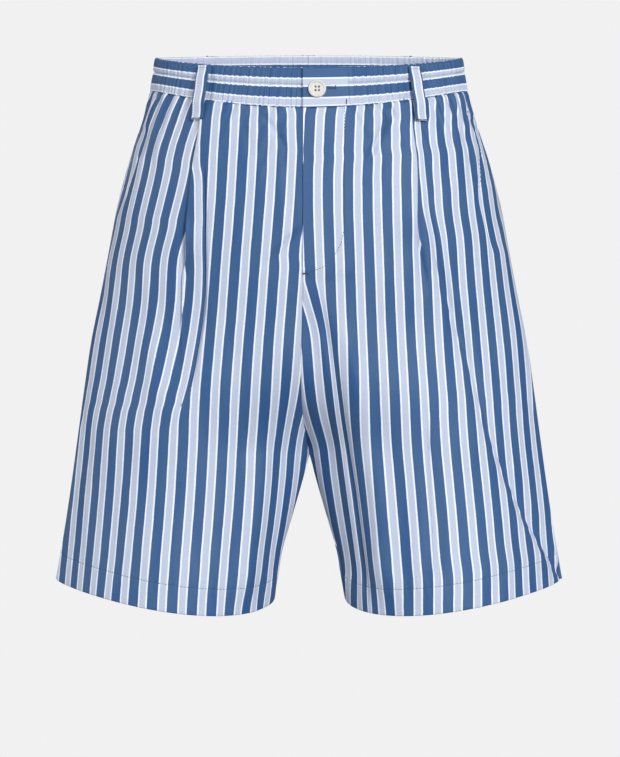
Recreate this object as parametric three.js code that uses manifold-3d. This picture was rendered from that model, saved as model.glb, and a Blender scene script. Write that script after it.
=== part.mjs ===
// Bermuda shorts with an elasticated waistband, reverse pleats, belt loops and one button.
// Millimetres, +Z up, +X to the viewer's right, the front faces -Y.
// The origin is the middle of the waistband ring, where the wearer's waist holds the shorts.
import * as THREE from 'three';
import { mergeVertices } from 'three/addons/utils/BufferGeometryUtils.js';
import Module from 'manifold-3d';

// Driving dimensions of the cloth, the seams and the small parts
const cloth = { wall: 1.1, hemWall: 2.2, hemDepth: 26, seamGap: 0.3, widestMitre: 1.2 };
const crotch = { z: -374, x: 1.5, frontStart: -262, backStart: -222, roundness: 0.75 };
const hem = { middle: -508.5, rise: 9.5, frontDrop: 18, backDrop: 6, twist: 3.8 };
const waistSeam = { side: -14, frontDrop: 22.6, backRise: 6.3 };
const bandTop = { side: 21, frontDrop: 18.2, backRise: 11.3 };
const band = { thickness: 2.6, puff: 0.7, waveLength: 14, waveHeight: 0.8, tabThickness: 2.4 };
const fly = { edgeX: -5, stitchX: 37, bottomZ: -194, lift: 1.5, underlap: 13 };
const pleat = { turnRadius: 0.8, openRadius: 2, openingHeight: 55, rampLength: 30 };
const gather = { waveLength: 22, height: 1.3, fadeHeight: 30 };
const loop = { width: 13, thickness: 1.8, bow: 6.5, below: 14, over: 1.2 };
const button = { diameter: 17.5, thickness: 3, holeSpacing: 3.4, holeDiameter: 1.9, x: 8.4, z: -18.7 };
const sideShift = 1;
const upperEnd = -210;
const pleatAngle = 0.9;

// Body of the shorts by height: half width at the side seams, depth in front of and behind them,
// where the side seams lie in Y, how far the inseams lead them, and how sharp the sides are
const body = [
  { z: 33, halfWidth: 151, front: 96, back: 108, seamY: 0, lead: 0, sharp: 1, backSharp: 1 },
  { z: -14, halfWidth: 157.5, front: 98, back: 112, seamY: 0, lead: 0, sharp: 1, backSharp: 1 },
  { z: -52, halfWidth: 169, front: 101, back: 122, seamY: 0, lead: 0, sharp: 1.05, backSharp: 1 },
  { z: -82, halfWidth: 179, front: 102, back: 128, seamY: 0, lead: 0, sharp: 1.1, backSharp: 1 },
  { z: -127, halfWidth: 191, front: 103, back: 135, seamY: 0, lead: 0, sharp: 1.15, backSharp: 1 },
  { z: -172, halfWidth: 199.5, front: 102, back: 138, seamY: 0, lead: 0, sharp: 1.25, backSharp: 1.05 },
  { z: -217, halfWidth: 208, front: 98, back: 137, seamY: -1, lead: 0, sharp: 1.35, backSharp: 1.1 },
  { z: -262, halfWidth: 217, front: 91, back: 133, seamY: -2, lead: 0, sharp: 1.5, backSharp: 1.15 },
  { z: -307, halfWidth: 223.5, front: 82, back: 126, seamY: -4, lead: -3, sharp: 1.65, backSharp: 1.2 },
  { z: -352, halfWidth: 229.5, front: 73, back: 116, seamY: -6, lead: -6, sharp: 1.8, backSharp: 1.25 },
  { z: -397, halfWidth: 235.5, front: 68, back: 106, seamY: -8, lead: -9, sharp: 1.95, backSharp: 1.3 },
  { z: -442, halfWidth: 242, front: 67, back: 98, seamY: -10, lead: -11, sharp: 2.05, backSharp: 1.3 },
  { z: -487, halfWidth: 249.5, front: 68, back: 92, seamY: -12, lead: -13, sharp: 2.1, backSharp: 1.3 },
  { z: -537, halfWidth: 259, front: 69, back: 87, seamY: -14, lead: -14, sharp: 2.1, backSharp: 1.3 },
];
// Centre front and back seams above the crotch, and half the gap between the legs below it
const centreSeam = [
  { z: 33, x: -5 },
  { z: -194, x: -5 },
  { z: -302, x: -7 },
  { z: -337, x: -5 },
  { z: -374, x: 1.5 },
];
const backSeam = [
  { z: 33, x: 0 },
  { z: -374, x: 1.5 },
];
const legGap = [
  { z: -374, half: 0 },
  { z: -397, half: 5.5 },
  { z: -442, half: 18.5 },
  { z: -472, half: 27 },
  { z: -502, half: 32 },
  { z: -537, half: 38 },
];
// The right leg's inner edge without the crotch's point, which only its inner face follows
const flatInner = {
  front: [
    { z: -315, x: -6.8 },
    { z: -337, x: -6.8 },
    { z: -374, x: -7.6 },
    { z: -397, x: -9.6 },
    { z: -442, x: -17.7 },
  ],
  back: [
    { z: -290, x: 0.4 },
    { z: -337, x: -1.2 },
    { z: -374, x: -5 },
    { z: -397, x: -8.2 },
    { z: -442, x: -17.7 },
  ],
};
// Each pleat's visible fold edge by height, as a distance from the middle
const pleatEdge = {
  right: [
    { z: -10, x: 103 },
    { z: -50, x: 104 },
    { z: -89, x: 110.5 },
    { z: -132, x: 116 },
    { z: -200, x: 124 },
  ],
  left: [
    { z: -10, x: 99 },
    { z: -50, x: 100 },
    { z: -86, x: 104.5 },
    { z: -137, x: 106.5 },
    { z: -200, x: 120 },
  ],
};
// How deep each pleat overlaps at the waist and where it starts to open, and the height of that place
const pleatDepth = {
  right: { overlap: 21, closing: 2.2, opens: -145 },
  left: { overlap: 18.5, closing: 1.5, opens: -150 },
};
// Main creases of each panel in X and Z through three points, where they start, pass and end,
// with how deep they are pressed in and their half width
const creases = {
  front_right: [
    { from: [-100, -60], by: [-102, -224], to: [-133, -350], depth: 5, width: 5.5 },
    { from: [-6, -148], by: [-21, -168], to: [-42, -192], depth: 2.5, width: 7 },
    { from: [-48, -38], by: [-33, -60], to: [-18, -90], depth: 2.2, width: 6 },
    { from: [-96, -290], by: [-104, -400], to: [-110, -510], depth: 1.6, width: 14 },
  ],
  front_left: [
    { from: [112, -105], by: [164, -302], to: [245, -490], depth: 5, width: 7 },
    { from: [10, -215], by: [38, -361], to: [62, -525], depth: 5, width: 8 },
    { from: [84, -38], by: [68, -68], to: [55, -96], depth: 2.4, width: 6 },
    { from: [110, -300], by: [122, -400], to: [130, -510], depth: 1.6, width: 14 },
  ],
  back_right: [
    { from: [-75, -70], by: [-95, -230], to: [-150, -420], depth: 4, width: 12 },
    { from: [-15, -255], by: [-50, -360], to: [-80, -480], depth: 4, width: 12 },
  ],
  back_left: [
    { from: [80, -80], by: [105, -240], to: [160, -440], depth: 4, width: 12 },
    { from: [20, -250], by: [48, -370], to: [70, -490], depth: 4, width: 12 },
  ],
};
const creaseFade = { longest: 45, share: 0.4 };

const colours = { stripe: 0x5f7da6, light: 0xc3cee4, button: 0xe9e6dc };
const half = Math.PI / 2;
const sign = { left: 1, right: -1 };

// Smooth step from 0 to 1
function smooth(t) {
  const c = Math.min(1, Math.max(0, t));
  return c * c * (3 - 2 * c);
}

// Value of a table's column at a height, by a cubic through its rows, which are sorted downwards
function lookup(table, column, z) {
  const last = table.length - 1;
  if (z >= table[0].z) {
    return table[0][column];
  }
  if (z <= table[last].z) {
    return table[last][column];
  }
  let i = 0;
  while (table[i + 1].z > z) {
    i += 1;
  }
  const slope = (a, b) => (table[b][column] - table[a][column]) / (table[b].z - table[a].z);
  const step = table[i + 1].z - table[i].z;
  const here = slope(Math.max(i - 1, 0), i + 1) * step;
  const next = slope(i, Math.min(i + 2, last)) * step;
  const t = (z - table[i].z) / step;
  const low = table[i][column];
  const high = table[i + 1][column];
  const rise = high - low;
  return low + t * here + t * t * (3 * rise - 2 * here - next) + t * t * t * (here + next - 2 * rise);
}

// Angle at which a half section ends: a quarter turn in the hips, half a turn in the legs
function endAngle(face, z) {
  const start = face === 'front' ? crotch.frontStart : crotch.backStart;
  if (z >= start) {
    return half;
  }
  const t = Math.max(0, (z - crotch.z) / (start - crotch.z));
  return Math.PI - half * Math.pow(t, crotch.roundness);
}

// X of the seam that ends a half section: the centre seam, or the inseam below the crotch
function innerX(side, face, z) {
  const clear = cloth.seamGap / 2;
  if (z > crotch.z) {
    return lookup(face === 'front' ? centreSeam : backSeam, 'x', z) + sign[side] * clear;
  }
  return crotch.x + sign[side] * (lookup(legGap, 'half', z) + cloth.wall / 2 + clear);
}

// The same edge as most of the section follows it, so that the crotch's point stays on the inner face
function flatInnerX(side, face, z) {
  const table = flatInner[face];
  const plain = side === 'left' || z > table[0].z || z < table[table.length - 1].z;
  return plain ? innerX(side, face, z) : lookup(table, 'x', z);
}

// Mid surface of the filled-out shorts at an angle from the side seam and a height
function skin(side, face, angle, z) {
  const outerX = sideShift + sign[side] * lookup(body, 'halfWidth', z);
  const reach = endAngle(face, z);
  const flatX = flatInnerX(side, face, z);
  const run = (outerX - flatX) / (1 - Math.cos(reach));
  const point = (innerX(side, face, z) - flatX) * smooth((angle / reach - 0.72) / 0.28);
  const depth = face === 'front' ? -lookup(body, 'front', z) : lookup(body, 'back', z);
  const sharp = lookup(body, face === 'front' ? 'sharp' : 'backSharp', z);
  const power = angle < half ? sharp : 1 + (sharp - 1) / 2;
  const bulge = Math.pow(Math.max(0, Math.sin(angle)), power);
  const lead = (lookup(body, 'lead', z) * (1 - Math.cos(angle))) / 2;
  const y = lookup(body, 'seamY', z) + lead + depth * bulge;
  return new THREE.Vector3(outerX - run * (1 - Math.cos(angle)) + point, y, z);
}

// Horizontal unit normal of the mid surface, pointing out of the shorts
function outward(side, face, angle, z) {
  const a = skin(side, face, Math.max(angle - 0.01, 0.001), z);
  const b = skin(side, face, angle + 0.01, z);
  const turn = sign[side] * (face === 'front' ? 1 : -1);
  return new THREE.Vector3(-(b.y - a.y) * turn, (b.x - a.x) * turn, 0).normalize();
}

// Angle where the mid surface has a given distance from the middle
function angleAtX(side, face, x, z) {
  const outerX = lookup(body, 'halfWidth', z);
  const width = outerX + sign[side] * (sideShift - flatInnerX(side, face, z));
  const run = width / (1 - Math.cos(endAngle(face, z)));
  return Math.acos(Math.max(-1, 1 - (outerX - x) / run));
}

// Length of mid surface for each radian at an angle
function stretch(side, face, angle, z) {
  const a = skin(side, face, angle - 0.01, z);
  const b = skin(side, face, angle + 0.01, z);
  return a.distanceTo(b) / 0.02;
}

// Heights of the waist seam, the band's top edge and the hem at an angle
function waistSeamZ(face, angle) {
  const change = face === 'front' ? -waistSeam.frontDrop : waistSeam.backRise;
  return waistSeam.side + change * Math.sin(angle) ** 2;
}

function bandTopZ(face, angle) {
  const change = face === 'front' ? -bandTop.frontDrop : bandTop.backRise;
  return bandTop.side + change * Math.sin(angle) ** 2;
}

function hemZ(face, angle) {
  const drop = face === 'front' ? hem.frontDrop : hem.backDrop;
  const twist = face === 'front' ? hem.twist : 0;
  return hem.middle + hem.rise * Math.cos(angle) - drop * Math.sin(angle) + twist * Math.sin(2 * angle);
}

// How far the creases of one panel press it inwards at a point
function creaseAt(side, face, point) {
  let depth = 0;
  for (const crease of creases[`${face}_${side}`]) {
    const [x0, z0] = crease.from;
    const [x1, z1] = crease.by;
    const [x2, z2] = crease.to;
    const { z } = point;
    const first = (x0 * (z - z1) * (z - z2)) / ((z0 - z1) * (z0 - z2));
    const second = (x1 * (z - z0) * (z - z2)) / ((z1 - z0) * (z1 - z2));
    const third = (x2 * (z - z0) * (z - z1)) / ((z2 - z0) * (z2 - z1));
    const length = Math.min(creaseFade.longest, (z0 - z2) * creaseFade.share);
    const fade = smooth((z0 - z) / length) * smooth((z - z2) / length);
    const off = (point.x - first - second - third) / crease.width;
    depth += crease.depth * fade * Math.exp(-off * off);
  }
  return depth;
}

// Small waves of the gathers under the band, which die out downwards
function gatherAt(length, belowSeam) {
  const turn = (2 * Math.PI * length) / gather.waveLength;
  const wave = Math.sin(turn) + 0.35 * Math.sin(1.7 * turn);
  return gather.height * Math.exp(-belowSeam / gather.fadeHeight) * wave;
}

// State of a pleat at a height: how deep it overlaps and how far its cloth turns back
function pleatState(side, z) {
  const { overlap: deepest, closing, opens } = pleatDepth[side];
  const closed = Math.max(0, (z - opens) / (waistSeam.side - opens));
  const overlap = closing + (deepest - closing) * closed;
  const turned = Math.min(1, Math.max(0, 1 - (opens - z) / pleat.openingHeight));
  const radius = pleat.turnRadius + (pleat.openRadius - pleat.turnRadius) * (1 - turned);
  return { overlap: turned === 1 ? overlap : closing * turned, turn: Math.PI * turned, radius };
}

// The pleat's S-shaped section: along is towards the middle, up is out of the shorts
function foldPoints(state) {
  const { overlap, turn, radius } = state;
  const steps = [0, 0.25, 0.5, 0.75, 1];
  const points = steps.map((k) => ({
    along: radius * Math.sin(turn * k),
    up: radius * (1 - Math.cos(turn * k)),
    key: k,
  }));
  const lower = points[points.length - 1];
  const upper = {
    along: lower.along + overlap * Math.cos(turn),
    up: lower.up + overlap * Math.sin(turn),
  };
  points.push({ along: (lower.along + upper.along) / 2, up: (lower.up + upper.up) / 2, key: 1.5 });
  const centre = {
    along: upper.along + radius * Math.sin(turn),
    up: upper.up - radius * Math.cos(turn),
  };
  for (const k of steps) {
    const angle = turn * (1 - k);
    points.push({
      along: centre.along - radius * Math.sin(angle),
      up: centre.up + radius * Math.cos(angle),
      key: 2 + k,
    });
  }
  return points;
}

// Extra height of the left front over the fly, where it laps over the right front
function flyLift(side, x, z) {
  if (side === 'right') {
    return 0;
  }
  const across = 1 - smooth((x - fly.stitchX) / 18);
  return fly.lift * across * smooth((z - fly.bottomZ + 12) / 12);
}

// How far past the centre seam the right front runs on under the fly
function flyUnderlap(side, z) {
  return side === 'right' ? fly.underlap * smooth((z - fly.bottomZ - 24) / 30) : 0;
}

// One row of a front panel's mid surface, from the side seam to the centre seam or inseam
function frontRow(side, heightAt, counts) {
  const roughZ = heightAt(pleatAngle);
  const edgeX = lookup(pleatEdge[side], 'x', roughZ) - sign[side] * sideShift;
  const edge = angleAtX(side, 'front', edgeX, roughZ);
  const z = heightAt(edge);
  const state = pleatState(side, z);
  const scale = stretch(side, 'front', edge, z);
  const bend = edge + (state.turn > 0 ? state.overlap / scale : 0);
  const row = [];
  const place = (key, angle, up, near) => {
    const height = heightAt(angle);
    const below = waistSeamZ('front', angle) - height;
    const flat = smooth((near - 5) / 12) * smooth(flatFly(side, angle, height));
    const wave = gatherAt(angle * scale, below) * flat;
    const point = skin(side, 'front', angle, height);
    const lift = up + wave + flyLift(side, point.x, height) - creaseAt(side, 'front', point);
    point.addScaledVector(outward(side, 'front', angle, height), lift);
    row.push({ key, point });
  };
  for (let j = 0; j < counts.outer; j += 1) {
    const angle = (bend * j) / counts.outer;
    place(j, angle, 0, Math.abs(bend - angle) * scale - state.overlap);
  }
  let last = { angle: bend, up: 0 };
  for (const p of foldPoints(state)) {
    last = { angle: bend + p.along / scale, up: p.up };
    place(counts.outer + p.key, last.angle, p.up, 0);
  }
  const end = endAngle('front', z) + flyUnderlap(side, z) / stretch(side, 'front', half, z);
  for (let j = 1; j <= counts.inner; j += 1) {
    const angle = last.angle + ((end - last.angle) * j) / counts.inner;
    const gone = ((angle - last.angle) * scale) / pleat.rampLength;
    place(counts.outer + 3 + j, angle, last.up * (1 - smooth(gone)), (angle - last.angle) * scale);
  }
  return row;
}

// Distance from the flat cloth of the fly, as a share of the way over which the gathers fade in
function flatFly(side, angle, z) {
  const { x } = skin(side, 'front', angle, z);
  return side === 'left' ? (x - fly.stitchX) / 15 : (fly.edgeX - 3 - x) / 15;
}

// One row of a back panel's mid surface, from the side seam to the seat seam or inseam
function backRow(side, heightAt, count) {
  const end = endAngle('back', heightAt(half));
  const row = [];
  for (let j = 0; j <= count; j += 1) {
    const share = j / count;
    const angle = end * share;
    const z = heightAt(angle);
    const point = skin(side, 'back', angle, z);
    const edge = smooth(share * 8) * smooth((1 - share) * 8);
    const length = angle * stretch(side, 'back', half / 2, z);
    const wave = gatherAt(length, waistSeamZ('back', angle) - z) * edge;
    point.addScaledVector(outward(side, 'back', angle, z), wave - creaseAt(side, 'back', point));
    row.push({ key: j, point });
  }
  return row;
}

// Gives a row its two faces, at a distance outside and inside, mitred in the seam's plane at both ends
function thicken(row, side, face, walls) {
  const turn = sign[side] * (face === 'front' ? 1 : -1);
  const lean = face === 'front' ? -1 : 1;
  const last = row.length - 1;
  return row.map((item, i) => {
    const before = row[Math.max(i - 1, 0)].point;
    const after = row[Math.min(i + 1, last)].point;
    const normal = new THREE.Vector3(-(after.y - before.y) * turn, (after.x - before.x) * turn, 0);
    normal.normalize();
    const point = item.point.clone();
    const onCentreSeam = i === last && point.z > crotch.z + 0.01;
    let way = normal;
    if (onCentreSeam) {
      way = new THREE.Vector3(0, lean / Math.max(Math.abs(normal.y), 0.01), 0);
    } else if (i === 0 || i === last) {
      point.y += (lean * cloth.seamGap) / 2;
      way = new THREE.Vector3(1 / normal.x, 0, 0);
    }
    const limit = cloth.widestMitre / (way.length() * walls.outer);
    const mitre = Math.min(1, limit);
    return {
      key: item.key,
      outer: point.clone().addScaledVector(way, walls.outer * mitre),
      inner: point.clone().addScaledVector(way, -walls.inner * mitre),
    };
  });
}

// Closed wall between the outer and inner faces of rows, whose keys match from row to row
function wallGeometry(rows) {
  const positions = [];
  const index = [];
  const add = (point, key) => {
    positions.push(point.x, point.y, point.z);
    return { id: positions.length / 3 - 1, key };
  };
  const outer = rows.map((row) => row.map((p) => add(p.outer, p.key)));
  const inner = rows.map((row) => row.map((p) => add(p.inner, p.key)));
  const strip = (a, b, flipped) => {
    let i = 0;
    let j = 0;
    while (i < a.length - 1 || j < b.length - 1) {
      const forward = j === b.length - 1 || (i < a.length - 1 && a[i + 1].key <= b[j + 1].key);
      const third = forward ? a[i + 1] : b[j + 1];
      const face = [a[i].id, b[j].id, third.id];
      index.push(...(flipped ? face.reverse() : face));
      i += forward ? 1 : 0;
      j += forward ? 0 : 1;
    }
  };
  for (let r = 0; r < rows.length - 1; r += 1) {
    strip(outer[r], outer[r + 1], false);
    strip(inner[r], inner[r + 1], true);
  }
  const edge = (faces, at) => faces.map((row, r) => ({ id: row.at(at).id, key: r }));
  strip(inner[0], outer[0], false);
  strip(outer.at(-1), inner.at(-1), false);
  strip(edge(outer, 0), edge(inner, 0), false);
  strip(edge(inner, -1), edge(outer, -1), false);
  return facingOut(positions, index);
}

// Geometry from points and triangles, turned so that its faces point out
function facingOut(positions, index) {
  const corner = (i) => new THREE.Vector3().fromArray(positions, index[i] * 3);
  let volume = 0;
  for (let i = 0; i < index.length; i += 3) {
    volume += corner(i).dot(corner(i + 1).cross(corner(i + 2)));
  }
  const geometry = new THREE.BufferGeometry();
  geometry.setAttribute('position', new THREE.Float32BufferAttribute(positions, 3));
  geometry.setIndex(volume < 0 ? index.reverse() : index);
  geometry.computeVertexNormals();
  return geometry;
}

// Row heights above the upper end: shares of the way from the waist seam, by where the pleat opens
function upperShares(opens, open) {
  const whole = waistSeam.side - upperEnd;
  const shares = [0, 0.035, 0.085, 0.15, 0.23];
  const at = (z) => (waistSeam.side - z) / whole;
  const middle = [0.34, 0.46, 0.56].filter((share) => share < at(opens) - 0.05);
  const opening = open.map((k) => at(opens - k * pleat.openingHeight));
  return { shares: [...shares, ...middle, ...opening], dense: shares.length };
}

const lowerHeights = [-210, -230, -250, -270, -292, -315, -336, -352, -363, -370, -373, -374];
const legShares = [0.07, 0.2, 0.38, 0.58, 0.77];

// Rows of a front panel: dense in the gathers, with the whole fold in the pleat, coarse below it
function frontPanel(side) {
  const counts = { outer: 16, inner: 18 };
  const rows = [];
  const coarse = (key) => key % 2 === 0 || key === counts.outer + 3 + counts.inner;
  const emit = (heightAt, keep, walls) => {
    const row = frontRow(side, heightAt, counts);
    const full = thicken(row, side, 'front', walls);
    rows.push(full.filter((item, i) => i === 0 || i === full.length - 1 || keep(item.key)));
  };
  const inFold = (key) => key >= counts.outer && key <= counts.outer + 3;
  const walls = { outer: cloth.wall / 2, inner: cloth.wall / 2 };
  const { shares, dense } = upperShares(pleatDepth[side].opens, [0, 0.2, 0.4, 0.6, 0.78, 0.92]);
  const clear = cloth.seamGap / 2;
  shares.forEach((share, i) => {
    const heightAt = (angle) => {
      const top = waistSeamZ('front', Math.min(angle, half)) - clear;
      return top + (upperEnd - top) * share;
    };
    emit(heightAt, i < dense ? () => true : (key) => inFold(key) || coarse(key), walls);
  });
  const plain = (key) => (inFold(key) ? key === counts.outer : coarse(key));
  lowerHeights.forEach((z) => emit(() => z, plain, walls));
  legShares.forEach((share) => {
    emit((angle) => crotch.z + (hemZ('front', angle) - crotch.z) * share, plain, walls);
  });
  const hemWalls = { outer: cloth.wall / 2, inner: cloth.hemWall - cloth.wall / 2 };
  emit((angle) => hemZ('front', angle) + cloth.hemDepth + 1, plain, walls);
  emit((angle) => hemZ('front', angle) + cloth.hemDepth, plain, hemWalls);
  emit((angle) => hemZ('front', angle), plain, hemWalls);
  return wallGeometry(rows);
}

// Rows of a back panel: dense in the gathers, coarse below them
function backPanel(side) {
  const count = 24;
  const rows = [];
  const emit = (heightAt, step, walls) => {
    const full = thicken(backRow(side, heightAt, count), side, 'back', walls);
    rows.push(full.filter((item) => item.key % step === 0));
  };
  const walls = { outer: cloth.wall / 2, inner: cloth.wall / 2 };
  const clear = cloth.seamGap / 2;
  [0, 0.06, 0.15, 0.28, 0.45, 0.62, 0.8].forEach((share, i) => {
    const heightAt = (angle) => {
      const top = waistSeamZ('back', Math.min(angle, half)) - clear;
      return top + (upperEnd - top) * share;
    };
    emit(heightAt, i < 4 ? 1 : 2, walls);
  });
  lowerHeights.forEach((z) => emit(() => z, 2, walls));
  legShares.forEach((share) => {
    emit((angle) => crotch.z + (hemZ('back', angle) - crotch.z) * share, 2, walls);
  });
  const hemWalls = { outer: cloth.wall / 2, inner: cloth.hemWall - cloth.wall / 2 };
  emit((angle) => hemZ('back', angle) + cloth.hemDepth + 1, 2, walls);
  emit((angle) => hemZ('back', angle) + cloth.hemDepth, 2, hemWalls);
  emit((angle) => hemZ('back', angle), 2, hemWalls);
  return wallGeometry(rows);
}

// Walk along the waist from one station to another in even steps; stations are signed angles,
// negative on the front and positive on the back, zero at the side seam
function waistStations(side, from, to, step) {
  const samples = 600;
  const at = (angle) => skin(side, angle < 0 ? 'front' : 'back', Math.abs(angle), 0);
  const lengths = [0];
  for (let i = 1; i <= samples; i += 1) {
    const a = at(from + ((to - from) * (i - 1)) / samples);
    lengths.push(lengths[i - 1] + a.distanceTo(at(from + ((to - from) * i) / samples)));
  }
  const whole = lengths[samples];
  const count = Math.round(whole / step);
  const stations = [];
  let i = 0;
  for (let k = 0; k <= count; k += 1) {
    const length = (whole * k) / count;
    while (i < samples && lengths[i + 1] < length) {
      i += 1;
    }
    const part = i < samples ? (length - lengths[i]) / (lengths[i + 1] - lengths[i]) : 0;
    stations.push({ angle: from + ((to - from) * (i + part)) / samples, length, whole });
  }
  return stations;
}

// A stretch of waistband: its section is swept along the stations, which also wave and shift it
function bandGeometry(side, stations, thickness, puff, offsetAt) {
  const profile = [
    { height: 0, out: 0.5, puffed: 0 },
    { height: 0.28, out: 0.5, puffed: 1 },
    { height: 0.58, out: 0.5, puffed: 0.1 },
    { height: 0.8, out: 0.5, puffed: 1 },
    { height: 1, out: 0.5, puffed: 0 },
    { height: 1, out: -0.5, puffed: 0 },
    { height: 0, out: -0.5, puffed: 0 },
  ];
  const positions = [];
  const index = [];
  for (const station of stations) {
    const face = station.angle < 0 ? 'front' : 'back';
    const angle = Math.abs(station.angle);
    const low = waistSeamZ(face, angle) + cloth.seamGap / 2;
    const high = bandTopZ(face, angle);
    const offset = offsetAt(station);
    for (const spot of profile) {
      const z = low + (high - low) * spot.height;
      const point = skin(side, face, angle, z);
      const out = spot.out * thickness + spot.puffed * puff + offset;
      point.addScaledVector(outward(side, face, angle, z), out);
      positions.push(point.x, point.y, point.z);
    }
  }
  const n = profile.length;
  for (let k = 0; k < stations.length - 1; k += 1) {
    for (let i = 0; i < n; i += 1) {
      const a = k * n + i;
      const b = k * n + ((i + 1) % n);
      index.push(a, a + n, b, b, a + n, b + n);
    }
  }
  for (let i = 1; i < n - 1; i += 1) {
    const end = (stations.length - 1) * n;
    index.push(0, i, i + 1, end, end + i + 1, end + i);
  }
  return facingOut(positions, index);
}

// Signed waist angle of a place on the front at a given X
function frontAngle(side, x) {
  const outerX = sideShift + sign[side] * lookup(body, 'halfWidth', 0);
  const run = outerX - innerX(side, 'front', 0);
  return -Math.acos(1 - (outerX - x) / run);
}

// Waves of the elastic, fading out at both ends of a stretch of band
function elasticWave(station) {
  const ends = smooth(station.length / 12) * smooth((station.whole - station.length) / 12);
  const turn = (2 * Math.PI * station.length) / band.waveLength;
  return band.waveHeight * ends * Math.sin(turn + 0.5 * Math.sin(turn / 5));
}

const tabEnds = { from: fly.edgeX, to: 38.3 };

// The elasticated band of the right side, which runs on under the tab
function bandRight() {
  const from = frontAngle('right', tabEnds.from + 16);
  const stations = waistStations('right', from, half, band.waveLength / 4);
  const sink = (station) => {
    const place = skin('right', 'front', Math.abs(Math.min(station.angle, 0)), 0);
    return station.angle < 0 ? smooth((place.x - tabEnds.from + 22) / 18) : 0;
  };
  const depth = fly.lift / 2 + 1;
  return bandGeometry('right', stations, band.thickness - 0.2, band.puff, (station) => {
    const under = sink(station);
    return elasticWave(station) * (1 - under) - depth * under - (band.puff * under) / 2;
  });
}

// The elasticated band of the left side, from the tab to the back
function bandLeft() {
  const from = frontAngle('left', tabEnds.to + 1.5 * cloth.seamGap);
  const stations = waistStations('left', from, half, band.waveLength / 4);
  return bandGeometry('left', stations, band.thickness, band.puff, elasticWave);
}

// The flat tab that carries the buttonhole
function bandTab() {
  const from = frontAngle('left', tabEnds.to);
  const stations = waistStations('left', from, frontAngle('left', tabEnds.from), 8);
  return bandGeometry('left', stations, band.tabThickness, 0, () => fly.lift);
}

// A belt loop: a strip that bows out over the band, its ends lying on the band's top and the panel
function loopGeometry(spec) {
  const top = bandTopZ(spec.face, spec.topAngle);
  const bottom = waistSeamZ(spec.face, spec.lowAngle) - loop.below;
  const stations = [0, 0.06, 0.14, 0.25, 0.4, 0.55, 0.7, 0.82, 0.9, 0.96, 1];
  const path = stations.map((share) => {
    const z = top + loop.over + (bottom - top - loop.over) * share;
    const angle = spec.topAngle + (spec.lowAngle - spec.topAngle) * share;
    const at = skin(spec.side, spec.face, angle, z);
    const way = outward(spec.side, spec.face, angle, z);
    const rest = spec.topOut + (spec.lowOut - spec.topOut) * smooth((share - 0.3) / 0.55);
    const bow = loop.bow * smooth(share / 0.3) * smooth((0.93 - share) / 0.3);
    return { point: at.addScaledVector(way, rest + bow + loop.thickness / 2), way };
  });
  const positions = [];
  const index = [];
  path.forEach(({ point, way }, i) => {
    const before = path[Math.max(i - 1, 0)].point;
    const after = path[Math.min(i + 1, path.length - 1)].point;
    const along = after.clone().sub(before).normalize();
    const across = new THREE.Vector3(way.y, -way.x, 0).normalize();
    const up = new THREE.Vector3().crossVectors(along, across).normalize();
    for (const [w, t] of [[-1, -1], [1, -1], [1, 1], [-1, 1]]) {
      const corner = point.clone().addScaledVector(across, (w * loop.width) / 2);
      corner.addScaledVector(up, (t * loop.thickness) / 2);
      positions.push(corner.x, corner.y, corner.z);
    }
  });
  for (let k = 0; k < path.length - 1; k += 1) {
    for (let i = 0; i < 4; i += 1) {
      const a = k * 4 + i;
      const b = k * 4 + ((i + 1) % 4);
      index.push(a, a + 4, b, b, a + 4, b + 4);
    }
  }
  const end = (path.length - 1) * 4;
  index.push(0, 1, 2, 0, 2, 3, end, end + 2, end + 1, end, end + 3, end + 2);
  return facingOut(positions, index);
}

// A three.js geometry as a solid for cutting
function solidOf(wasm, geometry) {
  const bare = geometry.clone();
  bare.deleteAttribute('normal');
  bare.deleteAttribute('uv');
  const merged = mergeVertices(bare, 1e-4);
  const vertProperties = new Float32Array(merged.attributes.position.array);
  const triVerts = new Uint32Array(merged.index.array);
  return new wasm.Manifold(new wasm.Mesh({ numProp: 3, vertProperties, triVerts }));
}

// The round button with a raised rim and four holes, its back on the tab
async function buttonGeometry() {
  const wasm = await Module();
  wasm.setup();
  const radius = button.diameter / 2;
  const t = button.thickness;
  const profile = [
    [0, 0],
    [radius * 0.82, 0],
    [radius * 0.97, t * 0.3],
    [radius, t * 0.55],
    [radius * 0.95, t * 0.9],
    [radius * 0.86, t],
    [radius * 0.76, t * 0.92],
    [radius * 0.68, t * 0.72],
    [0, t * 0.66],
  ];
  const disc = new THREE.LatheGeometry(profile.map(([r, h]) => new THREE.Vector2(r, h)), 22);
  let solid = solidOf(wasm, disc);
  for (const [across, up] of [[-1, -1], [1, -1], [1, 1], [-1, 1]]) {
    const hole = new THREE.CylinderGeometry(button.holeDiameter / 2, button.holeDiameter / 2, 4 * t, 8);
    hole.translate((across * button.holeSpacing) / 2, 0, (up * button.holeSpacing) / 2);
    solid = solid.subtract(solidOf(wasm, hole));
  }
  const mesh = solid.getMesh();
  const geometry = new THREE.BufferGeometry();
  geometry.setAttribute('position', new THREE.BufferAttribute(new Float32Array(mesh.vertProperties), 3));
  geometry.setIndex(new THREE.BufferAttribute(new Uint32Array(mesh.triVerts), 1));
  geometry.computeVertexNormals();
  return geometry;
}

const shorts = new THREE.Group();

function addPiece(name, geometry, colour, roughness = 0.85) {
  const material = new THREE.MeshStandardMaterial({ color: colour, roughness, metalness: 0 });
  const mesh = new THREE.Mesh(geometry, material);
  mesh.name = name;
  shorts.add(mesh);
  return mesh;
}

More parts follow.
